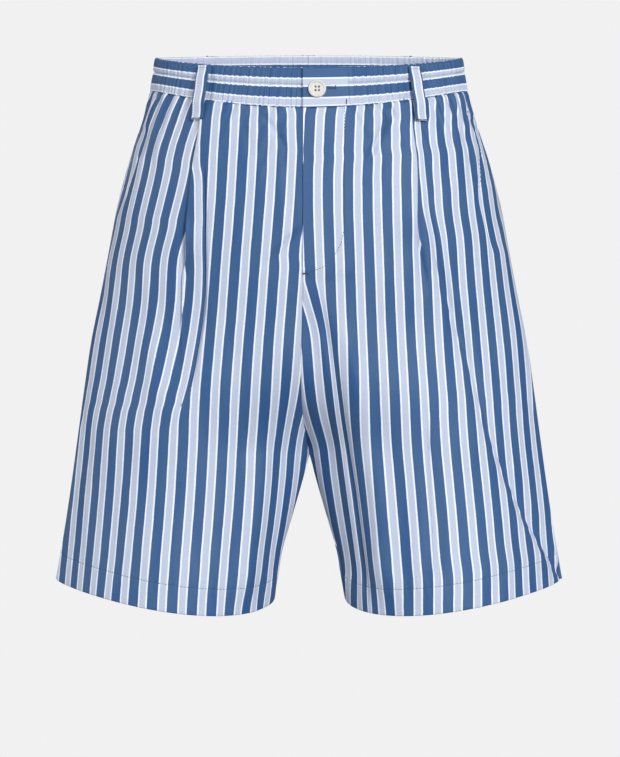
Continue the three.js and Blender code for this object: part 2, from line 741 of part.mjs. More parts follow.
addPiece('front_right', frontPanel('right'), colours.stripe);
addPiece('front_left', frontPanel('left'), colours.stripe);
addPiece('back_right', backPanel('right'), colours.stripe);
addPiece('back_left', backPanel('left'), colours.stripe);
addPiece('waistband_right', bandRight(), colours.light);
addPiece('waistband_left', bandLeft(), colours.light);
addPiece('waistband_tab', bandTab(), colours.light);

// Where each belt loop sits: its angle at the top and the bottom, and what its ends lie on
const overBand = band.thickness / 2 + band.waveHeight + cloth.seamGap;
const overGathers = cloth.wall / 2 + gather.height * 1.2 + cloth.seamGap;
const overPleat = 4 * pleat.turnRadius + cloth.wall / 2 + cloth.seamGap;
const frontX = { right: [105, 108], left: [101, 106] };
const backX = [98, 103];
for (const side of ['right', 'left']) {
  const [topX, lowX] = frontX[side];
  const angles = {
    topAngle: angleAtX(side, 'front', topX, 10),
    lowAngle: angleAtX(side, 'front', lowX, -36),
  };
  const spec = { side, face: 'front', ...angles, topOut: overBand, lowOut: overPleat };
  addPiece(`loop_front_${side}`, loopGeometry(spec), colours.light);
  const backAngles = {
    topAngle: angleAtX(side, 'back', backX[0], 25),
    lowAngle: angleAtX(side, 'back', backX[1], -20),
  };
  const backSpec = { side, face: 'back', ...backAngles, topOut: overBand, lowOut: overGathers };
  addPiece(`loop_back_${side}`, loopGeometry(backSpec), colours.light);
}
const middle = { topAngle: half, lowAngle: half, topOut: overBand, lowOut: overGathers };
addPiece('loop_back_centre', loopGeometry({ side: 'left', face: 'back', ...middle }), colours.light);

const buttonMesh = addPiece('button', await buttonGeometry(), colours.button, 0.35);
const buttonAngle = Math.abs(frontAngle('left', button.x));
const seat = skin('left', 'front', buttonAngle, button.z);
const upwards = skin('left', 'front', buttonAngle, button.z + 5).sub(seat).normalize();
const facing = outward('left', 'front', buttonAngle, button.z);
facing.addScaledVector(upwards, -facing.dot(upwards)).normalize();
buttonMesh.quaternion.setFromUnitVectors(new THREE.Vector3(0, 1, 0), facing);
buttonMesh.position.copy(seat);
buttonMesh.position.addScaledVector(facing, fly.lift + band.tabThickness / 2 + cloth.seamGap + 0.1);

export default shorts;
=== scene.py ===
import bpy
import numpy as np
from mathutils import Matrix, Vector


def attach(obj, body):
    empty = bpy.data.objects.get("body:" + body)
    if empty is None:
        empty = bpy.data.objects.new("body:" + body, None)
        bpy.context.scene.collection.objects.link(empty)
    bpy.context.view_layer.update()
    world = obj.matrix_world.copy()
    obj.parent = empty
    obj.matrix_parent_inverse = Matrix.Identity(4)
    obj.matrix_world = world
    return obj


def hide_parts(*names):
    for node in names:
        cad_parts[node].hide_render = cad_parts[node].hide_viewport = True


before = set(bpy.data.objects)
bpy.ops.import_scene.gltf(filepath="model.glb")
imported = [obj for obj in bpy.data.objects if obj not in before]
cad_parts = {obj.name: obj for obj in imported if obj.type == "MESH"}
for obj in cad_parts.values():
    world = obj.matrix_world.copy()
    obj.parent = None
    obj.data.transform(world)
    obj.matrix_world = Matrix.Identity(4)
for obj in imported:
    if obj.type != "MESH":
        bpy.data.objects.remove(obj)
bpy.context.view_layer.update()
mm = 0.001  # every size below is in millimetres, and makeMesh turns it into metres
quarter = np.pi / 2
turnOf = {"left": 1.0, "right": -1.0}  # the wearer's left is at +X

# Camera at the photo's angle: level, straight in front, 1 mm to a pixel at the side seams
photo = {"height": 757, "distance": 3500, "x": 2, "z": -300, "sensor": 36}

# The filled-out body by height, in the same sizes as the solids
body = {
    "z": [33, -14, -52, -82, -127, -172, -217, -262, -307, -352, -397, -442, -487, -537],
    "halfWidth": [151, 157.5, 169, 179, 191, 199.5, 208, 217, 223.5, 229.5, 235.5, 242, 249.5, 259],
    "front": [96, 98, 101, 102, 103, 102, 98, 91, 82, 73, 68, 67, 68, 69],
    "back": [108, 112, 122, 128, 135, 138, 137, 133, 126, 116, 106, 98, 92, 87],
    "seamY": [0, 0, 0, 0, 0, 0, -1, -2, -4, -6, -8, -10, -12, -14],
    "lead": [0, 0, 0, 0, 0, 0, 0, 0, -3, -6, -9, -11, -13, -14],
    "frontSharp": [1, 1, 1.05, 1.1, 1.15, 1.25, 1.35, 1.5, 1.65, 1.8, 1.95, 2.05, 2.1, 2.1],
    "backSharp": [1, 1, 1, 1, 1, 1.05, 1.1, 1.15, 1.2, 1.25, 1.3, 1.3, 1.3, 1.3],
}
centreSeam = {"z": [33, -194, -302, -337, -374], "x": [-5, -5, -7, -5, 1.5]}
seatSeam = {"z": [33, -374], "x": [0, 1.5]}
legGap = {"z": [-374, -397, -442, -472, -502, -537], "half": [0, 5.5, 18.5, 27, 32, 38]}
crotchFree = {
    "front": {"z": [-315, -337, -374, -397, -442], "x": [-6.8, -6.8, -7.6, -9.6, -17.7]},
    "back": {"z": [-290, -337, -374, -397, -442], "x": [0.4, -1.2, -5, -8.2, -17.7]},
}
crotch = {"z": -374, "x": 1.5, "frontStart": -232, "backStart": -181, "roundness": 0.9}
shape = {"sideShift": 1, "upperEnd": -210, "seamSide": -14, "seamFrontDrop": 22.6, "seamBackRise": 6.3}
topEdge = {"side": 20.5, "frontDrop": 18, "frontPower": 1.2, "backRise": 11.8, "backPower": 1.2}
hemLine = {"middle": -508.5, "rise": 9.5, "frontDrop": 18, "backDrop": 6, "twist": 3.8, "depth": 26}
fly = {"edgeX": -5, "stitchX": 37, "bottomZ": -194, "lift": 1.5, "underlap": 13}


def smooth(t):
    # 3t^2 - 2t^3 between 0 and 1, flat outside
    t = np.clip(t, 0, 1)
    return t * t * (3 - 2 * t)


def column(table, name, z):
    # a cubic through the table's rows: each row's slope is taken across its two neighbours
    zs = np.array(table["z"], float)
    vs = np.array(table[name], float)
    z = np.clip(z, zs[-1], zs[0])
    i = np.clip(np.searchsorted(-zs, -z, side="right") - 1, 0, len(zs) - 2)
    before = np.maximum(i - 1, 0)
    after = np.minimum(i + 2, len(zs) - 1)
    step = zs[i + 1] - zs[i]
    here = (vs[i + 1] - vs[before]) / (zs[i + 1] - zs[before]) * step
    coming = (vs[after] - vs[i]) / (zs[after] - zs[i]) * step
    t = (z - zs[i]) / step
    rise = vs[i + 1] - vs[i]
    return vs[i] + t * here + t * t * (3 * rise - 2 * here - coming) + t**3 * (here + coming - 2 * rise)


def endAngle(face, z):
    # a quarter turn in the hips, growing smoothly to half a turn where the legs part
    start = crotch["frontStart"] if face == "front" else crotch["backStart"]
    t = np.clip((z - crotch["z"]) / (start - crotch["z"]), 0, 1)
    return np.pi - quarter * np.sin(quarter * t) ** crotch["roundness"]


def innerX(side, face, z):
    # the centre or seat seam above the crotch, the inseam below it
    turn = turnOf[side]
    seam = column(centreSeam if face == "front" else seatSeam, "x", z) + turn * 0.15
    leg = crotch["x"] + turn * (column(legGap, "half", z) + 0.15 + 0.55 * smooth((crotch["z"] - z) / 12))
    return np.where(z > crotch["z"] + 1e-6, seam, leg)


def flatInnerX(side, face, z):
    # the inner edge without the crotch's point, which only the last part of a section follows
    if side == "left":
        return innerX(side, face, z)
    row = crotchFree[face]
    return np.where((z < row["z"][0]) & (z > row["z"][-1]), column(row, "x", z), innerX(side, face, z))


def skin(side, face, angle, z):
    # x = outer - run (1 - cos a), y = seam + lead (1 - cos a) / 2 + depth sin(a)^power
    turn = turnOf[side]
    outer = shape["sideShift"] + turn * column(body, "halfWidth", z)
    flat = flatInnerX(side, face, z)
    end = endAngle(face, z)
    run = (outer - flat) / (1 - np.cos(end))
    point = (innerX(side, face, z) - flat) * smooth((angle - 0.72 * end) / (0.28 * end))
    depth = -column(body, "front", z) if face == "front" else column(body, "back", z)
    sharp = column(body, face + "Sharp", z)
    power = np.where(angle < quarter, sharp, 1 + (sharp - 1) / 2)
    bulge = np.maximum(np.sin(angle), 1e-9) ** power
    lead = column(body, "lead", z) * (1 - np.cos(angle)) / 2
    return outer - run * (1 - np.cos(angle)) + point, column(body, "seamY", z) + lead + depth * bulge


def outward(side, face, angle, z):
    # the horizontal normal: the section's tangent turned a quarter turn
    turn = turnOf[side] * (1 if face == "front" else -1)
    ax, ay = skin(side, face, np.maximum(angle - 0.01, 0.001), z)
    bx, by = skin(side, face, angle + 0.01, z)
    nx, ny = -(by - ay) * turn, (bx - ax) * turn
    size = np.hypot(nx, ny)
    return nx / size, ny / size


def stretch(side, face, angle, z):
    # millimetres of section for each radian
    ax, ay = skin(side, face, angle - 0.01, z)
    bx, by = skin(side, face, angle + 0.01, z)
    return np.hypot(bx - ax, by - ay) / 0.02


def angleAtX(side, face, x, z):
    # the angle whose x lies that far from the middle
    turn = turnOf[side]
    outer = column(body, "halfWidth", z)
    inner = turn * (shape["sideShift"] - flatInnerX(side, face, z))
    run = (outer + inner) / (1 - np.cos(endAngle(face, z)))
    return np.arccos(np.clip(1 - (outer - x) / run, -1, 1))


def waistSeamZ(face, angle):
    change = -shape["seamFrontDrop"] if face == "front" else shape["seamBackRise"]
    return shape["seamSide"] + change * np.sin(angle) ** 2


def bandTopZ(face, angle):
    # side + change sin(a)^power
    change = -topEdge["frontDrop"] if face == "front" else topEdge["backRise"]
    return topEdge["side"] + change * np.sin(np.maximum(angle, 1e-6)) ** topEdge[face + "Power"]


def hemZ(face, angle):
    # middle + rise cos a - drop sin a + twist sin 2a
    drop = hemLine["frontDrop"] if face == "front" else hemLine["backDrop"]
    twist = hemLine["twist"] if face == "front" else 0
    level = hemLine["middle"] + hemLine["rise"] * np.cos(angle)
    return level - drop * np.sin(angle) + twist * np.sin(2 * angle)


def makeMesh(name, points, quads, uv=None):
    # points (n, 3) in mm and quads or triangles (m, k) become an object at the origin, in metres
    mesh = bpy.data.meshes.new(name)
    mesh.from_pydata((points * mm).tolist(), [], quads.tolist())
    if uv is not None:
        layer = mesh.uv_layers.new(name="cloth")
        layer.data.foreach_set("uv", uv[quads.ravel()].astype(np.float32).ravel())
    mesh.polygons.foreach_set("use_smooth", np.full(len(mesh.polygons), True))
    mesh.update()
    piece = bpy.data.objects.new(name, mesh)
    bpy.context.scene.collection.objects.link(piece)
    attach(piece, "root")
    return piece


def gridQuads(rows, columns, flip=False, closed=False):
    # corner numbers of a rows by columns grid, wrapped round across the columns if it is closed
    r = np.arange(rows - 1)[:, None]
    c = np.arange(columns if closed else columns - 1)[None, :]
    d = (c + 1) % columns
    quads = np.stack([r * columns + c, r * columns + d, (r + 1) * columns + d, (r + 1) * columns + c], -1)
    quads = quads.reshape(-1, 4)
    return quads[:, ::-1] if flip else quads


def thicken(piece, thickness):
    solid = piece.modifiers.new("cloth thickness", "SOLIDIFY")
    solid.thickness = thickness * mm
    solid.offset = 0
    return piece


print("shapes are ready")

# Colours and weave of the poplin, shared by every cloth piece
poplin = {
    "repeat": 19.5,
    "dark": 10.2,
    "edge": 1.6,
    "light": 6.1,
    "darkColour": (0.024, 0.091, 0.23),
    "edgeColour": (0.76, 0.81, 0.885),
    "lightColour": (0.462, 0.515, 0.645),
    "roughness": 0.6,
    "specular": 0.45,
    "sheen": 0.06,
    "weavePitch": 0.42,
    "relief": 0.45,
    "reliefHeight": 0.0012,
}


def nodeMaker(tree):
    # makes a node, sets its inputs (i0, i1 by number, others by name) from values or sockets
    def make(kind, operation=None, **inputs):
        node = tree.nodes.new(kind)
        if operation:
            node.operation = operation
        for key, value in inputs.items():
            socket = node.inputs[int(key[1:]) if key[1:].isdigit() else key]
            if isinstance(value, bpy.types.NodeSocket):
                tree.links.new(value, socket)
            else:
                socket.default_value = value
        return node
    return make


def noiseOn(make, vector, scale, detail):
    # cloudy noise from 0 to 1, that many waves to each unit of the vector
    return make("ShaderNodeTexNoise", Vector=vector, Scale=scale, Detail=detail).outputs[0]


def poplinGroup():
    # stripe colour from the distance across the cloth, thread mottling, and the weave's height
    group = bpy.data.node_groups.new("stripedPoplin", "ShaderNodeTree")
    face = group.interface
    face.new_socket("Cloth", in_out="INPUT", socket_type="NodeSocketVector")
    face.new_socket("Shift", in_out="INPUT", socket_type="NodeSocketFloat")
    face.new_socket("Colour", in_out="OUTPUT", socket_type="NodeSocketColor")
    face.new_socket("Height", in_out="OUTPUT", socket_type="NodeSocketFloat")
    make = nodeMaker(group)
    start = group.nodes.new("NodeGroupInput")
    end = group.nodes.new("NodeGroupOutput")
    parts = make("ShaderNodeSeparateXYZ", i0=start.outputs["Cloth"])
    across = make("ShaderNodeMath", operation="MULTIPLY", i0=parts.outputs[0], i1=1000.0)
    along = make("ShaderNodeMath", operation="MULTIPLY", i0=parts.outputs[1], i1=1000.0)
    # a slight unevenness of the stripe edges, as yarns wander
    wander = noiseOn(make, start.outputs["Cloth"], 60.0, 2.0)
    drift = make("ShaderNodeMath", operation="MULTIPLY_ADD", i0=wander, i1=0.5, i2=-0.25)
    shifted = make("ShaderNodeMath", operation="ADD", i0=across.outputs[0], i1=start.outputs["Shift"])
    moved = make("ShaderNodeMath", operation="ADD", i0=shifted.outputs[0], i1=drift.outputs[0])
    share = make("ShaderNodeMath", operation="DIVIDE", i0=moved.outputs[0], i1=poplin["repeat"])
    fraction = make("ShaderNodeMath", operation="FRACT", i0=share.outputs[0])
    ramp = make("ShaderNodeValToRGB", i0=fraction.outputs[0])
    stops = ramp.color_ramp
    soft = 0.12 / poplin["repeat"]
    first = poplin["dark"] / poplin["repeat"]
    second = first + poplin["edge"] / poplin["repeat"]
    third = second + poplin["light"] / poplin["repeat"]
    dark, edge, light = (poplin[k] + (1,) for k in ("darkColour", "edgeColour", "lightColour"))
    stops.elements[0].position = 0
    stops.elements[0].color = dark
    stops.elements[1].position = 1
    stops.elements[1].color = edge
    for place, colour in [(first - soft, dark), (first + soft, edge), (second - soft, edge),
                          (second + soft, light), (third - soft, light), (third + soft, edge)]:
        stops.elements.new(place).color = colour
    # mottling of single threads: warp threads differ a little, and so do short lengths of each
    threads = make("ShaderNodeCombineXYZ", i0=across.outputs[0], i1=along.outputs[0])
    lengths = make("ShaderNodeVectorMath", operation="MULTIPLY", i0=threads.outputs[0], i1=(2.4, 0.35, 1.0))
    yarn = noiseOn(make, lengths.outputs[0], 1.0, 3.0)
    tone = make("ShaderNodeMath", operation="MULTIPLY_ADD", i0=yarn, i1=0.34, i2=0.83)
    mottled = make("ShaderNodeVectorMath", operation="SCALE", i0=ramp.outputs[0], Scale=tone.outputs[0])
    # broad patches of the dark stripes a little greyer or bluer, longer down the cloth than across it
    patch = make("ShaderNodeVectorMath", operation="MULTIPLY", i0=threads.outputs[0], i1=(0.06, 0.014, 1.0))
    tint = make("ShaderNodeValToRGB", i0=noiseOn(make, patch.outputs[0], 1.0, 3.0))
    tint.color_ramp.elements[0].position = 0.32
    tint.color_ramp.elements[0].color = (0.66, 0.88, 1.02, 1)
    tint.color_ramp.elements[1].position = 0.68
    tint.color_ramp.elements[1].color = (1.28, 1.06, 0.96, 1)
    isDark = make("ShaderNodeMath", operation="LESS_THAN", i0=fraction.outputs[0], i1=first)
    coloured = group.nodes.new("ShaderNodeMix")
    coloured.data_type = "RGBA"
    coloured.blend_type = "MULTIPLY"
    group.links.new(isDark.outputs[0], coloured.inputs["Factor"])
    group.links.new(mottled.outputs[0], coloured.inputs[6])
    group.links.new(tint.outputs[0], coloured.inputs[7])
    group.links.new(coloured.outputs[2], end.inputs["Colour"])
    # plain weave: warp and weft cross as sines half a thread apart
    pitch = 2 * np.pi / poplin["weavePitch"]
    warp = make("ShaderNodeMath", operation="SINE",
                i0=make("ShaderNodeMath", operation="MULTIPLY", i0=across.outputs[0], i1=pitch).outputs[0])
    weft = make("ShaderNodeMath", operation="SINE",
                i0=make("ShaderNodeMath", operation="MULTIPLY", i0=along.outputs[0], i1=pitch).outputs[0])
    weave = make("ShaderNodeMath", operation="MULTIPLY", i0=warp.outputs[0], i1=weft.outputs[0])
    crumple = noiseOn(make, start.outputs["Cloth"], 45.0, 3.0)
    height = make("ShaderNodeMath", operation="MULTIPLY_ADD", i0=weave.outputs[0], i1=0.03, i2=crumple)
    group.links.new(height.outputs[0], end.inputs["Height"])
    return group


poplinNodes = poplinGroup()


def clothMaterial(name, shift):
    material = bpy.data.materials.new(name)
    material.use_nodes = True
    tree = material.node_tree
    make = nodeMaker(tree)
    shader = tree.nodes["Principled BSDF"]
    uv = tree.nodes.new("ShaderNodeUVMap")
    uv.uv_map = "cloth"
    stripes = tree.nodes.new("ShaderNodeGroup")
    stripes.node_tree = poplinNodes
    tree.links.new(uv.outputs[0], stripes.inputs["Cloth"])
    stripes.inputs["Shift"].default_value = shift
    tree.links.new(stripes.outputs["Colour"], shader.inputs["Base Color"])
    relief = make("ShaderNodeBump", Height=stripes.outputs["Height"], Strength=poplin["relief"],
                  Distance=poplin["reliefHeight"])
    tree.links.new(relief.outputs[0], shader.inputs["Normal"])
    shader.inputs["Roughness"].default_value = poplin["roughness"]
    shader.inputs["Specular IOR Level"].default_value = poplin["specular"]
    shader.inputs["Sheen Weight"].default_value = poplin["sheen"]
    shader.inputs["Sheen Roughness"].default_value = 0.5
    return material


print("poplin is ready")

# The front panels: pleat, gathers, creases and the numbers of rows and columns
pleat = {
    "overlap": {"right": 21, "left": 5.5}, "closing": {"right": 2.2, "left": 1.2},
    "turnRadius": 0.8, "openRadius": 2, "openingHeight": 55, "ramp": 30,
    "right": {"z": [-10, -50, -89, -132, -200], "x": [103, 104, 110.5, 116, 124]},
    "left": {"z": [-10, -50, -86, -137, -200], "x": [99, 100, 104.5, 106.5, 120]},
    "opens": {"right": -145, "left": -125},
}
uneven = {"height": 0.75}
gather = {"height": 1.3, "length": 16, "fade": 32, "takenIn": 0.11}
panel = {"outer": 130, "inner": 112, "turn": 8, "back": 170, "upper": 58, "middle": 46, "lower": 44,
         "cloth": 0.45, "out": 0.3}
seam = {"gap": 0.26, "turnedIn": (6.0, 0.7), "dip": 0.9, "dipReach": 1.3}
grain = {  # the middle of one dark stripe on each side, by height: the straight grain
    "right": {"z": [-34, -122, -182, -242, -302, -362, -422, -482, -530],
              "x": [-60.7, -65.6, -70.4, -75, -80, -83, -86.4, -91.3, -94.5]},
    "left": {"z": [-34, -122, -182, -242, -302, -362, -422, -482, -530],
             "x": [59.4, 57.9, 59.7, 61.9, 64.5, 67, 70.9, 76.3, 81]},
}
# Folds by panel: a path of heights and x, how deep it is pressed in (raised if negative), half width
folds = {
    "front_right": [
        {"z": [-70, -110, -224, -243, -273, -302, -345], "x": [-101, -101, -101.5, -104, -109, -115, -131],
         "depth": [3, 4, 4.6, 4.4, 4, 3.5, 2.5], "width": 2.4},
        {"z": [-112, -172, -230, -310], "x": [-113, -119, -124, -130], "depth": 3.4, "width": 4.2,
         "slack": True},
        {"z": [-236, -290, -350], "x": [-154, -150, -144], "depth": -3.5, "width": 14, "slack": True},
        {"z": [-146, -154, -187, -200], "x": [0, -8, -39, -52], "depth": 3.4, "width": 4},
        {"z": [-160, -200, -262], "x": [-42, -58, -66], "depth": 1.8, "width": 6, "slack": True},
        {"z": [-38, -58, -82], "x": [-48, -33, -18], "depth": 2.2, "width": 3.6},
        {"z": [-38, -60, -95], "x": [-66, -60, -52], "depth": 1.0, "width": 4},
        {"z": [-60, -110, -160], "x": [-24, -20, -15], "depth": 1.3, "width": 5},
        {"z": [-225, -370, -535], "x": [-20, -42, -66], "depth": [-2, -4.5, -5.5], "width": [9, 12, 13],
         "slack": True},
        {"z": [-300, -400, -505], "x": [-96, -104, -110], "depth": 1.4, "width": 10},
        {"z": [-42, -56, -77, -97, -112, -150], "x": [-156, -159, -166, -173, -178, -192],
         "depth": 1.3, "width": 1.2},
        {"z": [-330, -430, -520], "x": [-168, -186, -200], "depth": 1.6, "width": 11},
    ],
    "front_left": [
        {"z": [-215, -302, -361, -419, -478, -528], "x": [11, 27, 36, 46, 53, 60], "depth": 4, "width": 4.5},
        {"z": [-205, -228, -302, -361, -419, -528], "x": [-4, 0, 13, 21, 31, 47],
         "depth": [2, 4.5, 5, 4.5, 4, 4], "width": 10},
        {"z": [-222, -302, -361, -419, -478, -535], "x": [26, 47, 57, 68, 75, 83],
         "depth": [-2, -5, -6.5, -7, -7, -6.5], "width": [8, 10, 12, 13, 13, 13], "slack": True},
        {"z": [-110, -160, -230], "x": [105, 109, 116], "depth": 3.4, "width": 5, "slack": True},
        {"z": [-34, -68, -100], "x": [83, 68, 53], "depth": 3.2, "width": 3.6},
        {"z": [-74, -100, -128], "x": [75, 70, 64], "depth": 1.4, "width": 4},
        {"z": [-38, -60, -84], "x": [62, 57, 50], "depth": 0.9, "width": 3.6},
        {"z": [-105, -165, -204, -243, -282, -321, -360, -399, -438, -477, -540],
         "x": [112, 123.5, 132, 145, 158, 170, 182, 198.5, 217, 240, 276],
         "depth": [2, 4, 5, 5, 5, 5, 5, 5, 5, 4, 3], "width": [3, 4, 5, 6, 6, 6, 6, 6, 6, 5, 5]},
        {"z": [-140, -165, -204, -243, -282, -321, -360, -399, -438, -477, -540],
         "x": [116, 121.5, 130, 143, 156, 168, 180, 196.5, 215, 238, 274], "depth": -1.3, "width": 1.6},
        {"z": [-300, -400, -515], "x": [110, 122, 130], "depth": 1.5, "width": 11},
        {"z": [-30, -37, -66, -94, -124, -170], "x": [156, 158, 170, 170, 169, 181],
         "depth": 1.3, "width": 1.2},
        {"z": [-430, -480, -530], "x": [104, 106, 108], "depth": -1.4, "width": 8},
    ],
    "back_right": [
        {"z": [-70, -230, -420], "x": [-75, -95, -150], "depth": 4, "width": 9},
        {"z": [-255, -360, -480], "x": [-15, -50, -80], "depth": 4, "width": 9},
        {"z": [-30, -70, -130], "x": [-62, -58, -50], "depth": 1.6, "width": 5},
        {"z": [-240, -330, -450], "x": [-150, -165, -190], "depth": -2, "width": 13},
        {"z": [-150, -200, -250], "x": [-110, -70, -25], "depth": 1.6, "width": 9},
    ],
    "back_left": [
        {"z": [-80, -240, -440], "x": [80, 105, 160], "depth": 4, "width": 9},
        {"z": [-250, -370, -490], "x": [20, 48, 70], "depth": 4, "width": 9},
        {"z": [-30, -66, -115], "x": [45, 48, 52], "depth": 1.6, "width": 5},
        {"z": [-260, -350, -470], "x": [140, 168, 196], "depth": -2, "width": 13},
        {"z": [-160, -205, -246], "x": [100, 62, 24], "depth": 1.5, "width": 9},
    ],
}
# Cloth that lies hidden in a fold or a seam, in mm, and the width over which it goes in
tucks = {
    "front_right": [
        {"z": [-70, -110, -170, -224, -302, -350], "x": [-101, -101, -101, -101.5, -115, -131],
         "cloth": [0, 3, 7, 9, 5, 0], "width": 4},
        {"z": [-48, -56, -97, -125, -140], "x": [-158, -159, -173, -184, -190],
         "cloth": [0, 4, 6, 5, 0], "width": 0.7},
    ],
    "front_left": [
        {"z": [-205, -250, -302, -361, -419, -478, -528], "x": [10, 19, 27, 36, 46, 53, 60],
         "cloth": [0, 10, 12, 11, 11, 11, 11], "width": [5, 7, 8, 8, 9, 10, 10]},
        {"z": [-25, -42, -60, -88, -127, -166, -204, -243, -282, -321, -360, -399, -438, -477, -540],
         "x": [107, 108, 110, 113, 119, 129, 139, 150, 159, 171, 183, 199, 217, 240, 276],
         "cloth": [0, 2.3, 4.5, 4.8, 6, 7.5, 6.5, 5.5, 4.5, 4.5, 4.5, 4.5, 4.5, 4.5, 4.5],
         "width": [3, 3, 3, 4, 6, 7, 8, 9, 9, 9, 9, 9, 9, 9, 9]},
        {"z": [-36, -42, -66, -94, -124, -162, -175], "x": [158, 159, 170, 170, 169, 179, 182],
         "cloth": [0, 4, 6, 6, 6, 4, 0], "width": 0.7},
    ],
    "back_right": [],
    "back_left": [],
}


def takenUp(side, face, x, z):
    # all the cloth taken up between the side seam and x, rising smoothly over each tuck's width
    total = 0 * x
    for row in tucks[f"{face}_{side}"]:
        cloth = np.where((z < row["z"][0]) & (z > row["z"][-1] - 20), column(row, "cloth", z), 0)
        width = sizeAt(row, "width", z)
        total = total + cloth * smooth(0.5 + (column(row, "x", z) - x) * turnOf[side] / (2 * width))
    return total


def foldAt(side, face, x, z, slack=False):
    # the sum of depth e^(-q^2), q the distance from each path in half widths, faded at both ends;
    # a slack fold is drawn from the cloth's own give, so it takes up none of the stripes' width
    total = np.zeros(np.broadcast(x, z).shape)
    for row in folds[f"{face}_{side}"]:
        if row.get("slack", False) != slack:
            continue
        top, bottom = row["z"][0], row["z"][-1]
        length = min(45, (top - bottom) * 0.4)
        fade = smooth((top - z) / length) * smooth((z - bottom) / length)
        q = (x - column(row, "x", z)) / sizeAt(row, "width", z)
        total += fade * sizeAt(row, "depth", z) * np.exp(-q * q)
    return total


def sizeAt(row, name, z):
    return column(row, name, z) if isinstance(row[name], list) else row[name]


def crowd(side, face, angle, z):
    # moves a row's angles closer together where a fold is narrow and deep, and keeps the two ends
    fine = np.linspace(0, 1, 500)[None, :]
    start, end = angle[:, :1], angle[:, -1:]
    fineAngle = start + (end - start) * fine
    fineX = skin(side, face, fineAngle, z)[0]
    density = 1 + 0 * fineX
    for row in folds[f"{face}_{side}"]:
        width = sizeAt(row, "width", z)
        slope = np.abs(sizeAt(row, "depth", z)) / width
        q = (fineX - column(row, "x", z)) / (1.5 * width)
        density += np.clip(slope - 0.5, 0, 3) * np.exp(-q * q) * ((z < row["z"][0]) & (z > row["z"][-1]))
    filled = np.cumsum(density, 1)
    filled = (filled - filled[:, :1]) / (filled[:, -1:] - filled[:, :1])
    share = (angle - start) / (end - start)
    return np.stack([np.interp(s, f, a) for s, f, a in zip(share, filled, fineAngle)])


def gatherAt(length, below):
    # ripples of uneven length that die out below the waist seam, some sooner than others
    turn = 2 * np.pi * length / gather["length"]
    ripple = np.sin(turn + 1.1 * np.sin(turn / 3.1)) + 0.45 * np.sin(1.9 * turn + 2)
    reach = gather["fade"] * (1 + 0.5 * np.sin(turn / 4.3 + 1))
    return gather["height"] * np.exp(-np.maximum(below, 0) / reach) * ripple


def unevenAt(x, z, phase):
    # the slight unevenness of worn cloth: long shallow waves that lean and wander
    lean = x + 9 * np.sin(z / 47 + phase) + 5 * np.sin(z / 21 + x / 60)
    waves = 0.5 * np.sin(lean / 5.1 + phase) + 0.35 * np.sin(lean / 3.3 + z / 60 + 2 * phase)
    waves = waves + 0.16 * np.sin(lean / 1.5 + 2 * np.sin(z / 26)) * np.sin(z / 18 + x / 13)
    return uneven["height"] * waves * (0.6 + 0.4 * np.sin(z / 33 + x / 41 + phase))


def rowCoefficients():
    # each row's height is constant + a share of the waist seam's + a share of the hem's, and an inset
    end = shape["upperEnd"]
    upper = np.linspace(0, 1, panel["upper"]) ** 1.25
    rows = [(over, 1, 0, 0, 0) for over in (5, 2.5, 0.9)]
    rows += [(end * a, 1 - a, 0, 0, 0) for a in upper]
    middle = 1 - (1 - np.linspace(0, 1, panel["middle"])[1:]) ** 1.7
    rows += [(end + (crotch["z"] - end) * b, 0, 0, 0, 0) for b in middle]
    depth = hemLine["depth"]
    lower = np.linspace(0, 1, panel["lower"])[1:]
    rows += [(crotch["z"] * (1 - c) + (depth + 2) * c, 0, c, 0, 0) for c in lower]
    rows += [(z, 0, 1, 0, 1 if z == depth else 0) for z in (depth + 0.8, depth, depth - 0.8)]
    rows += [(z, 0, 1, 0, 0) for z in np.linspace(depth - 3, 0.8, 9)]
    rows += [(0.15, 0, 1, 0.15, 0), (0, 0, 1, 0.5, 0), (0.15, 0, 1, 0.85, 0)]
    rows += [(z, 0, 1, 1, 0) for z in np.linspace(1, depth - 1.5, 7)]
    return np.array(rows, float)


def foldProfile(overlap, turn, radius, steps):
    # an S of two arcs and the straight between them: along is towards the middle, up is outwards
    k = np.linspace(0, 1, steps)[None, :]
    turn, radius, overlap = turn[:, None], radius[:, None], overlap[:, None]
    along = [radius * np.sin(turn * k)]
    up = [radius * (1 - np.cos(turn * k))]
    lowAlong, lowUp = along[0][:, -1:], up[0][:, -1:]
    m = np.linspace(0, 1, 8)[None, 1:]
    along.append(lowAlong + overlap * np.cos(turn) * m)
    up.append(lowUp + overlap * np.sin(turn) * m)
    highAlong, highUp = along[1][:, -1:], up[1][:, -1:]
    back = turn * (1 - k[:, 1:])
    along.append(highAlong + radius * (np.sin(turn) - np.sin(back)))
    up.append(highUp + radius * (np.cos(back) - np.cos(turn)))
    return np.concatenate(along, 1), np.concatenate(up, 1)


def flyLift(side, x, z):
    # the left front lies this much above the right one, as far as the fly's stitching
    if side == "right":
        return 0 * x
    across = 1 - smooth((x - fly["stitchX"]) / 14)
    return fly["lift"] * across * smooth((z - fly["bottomZ"] + 12) / 12)


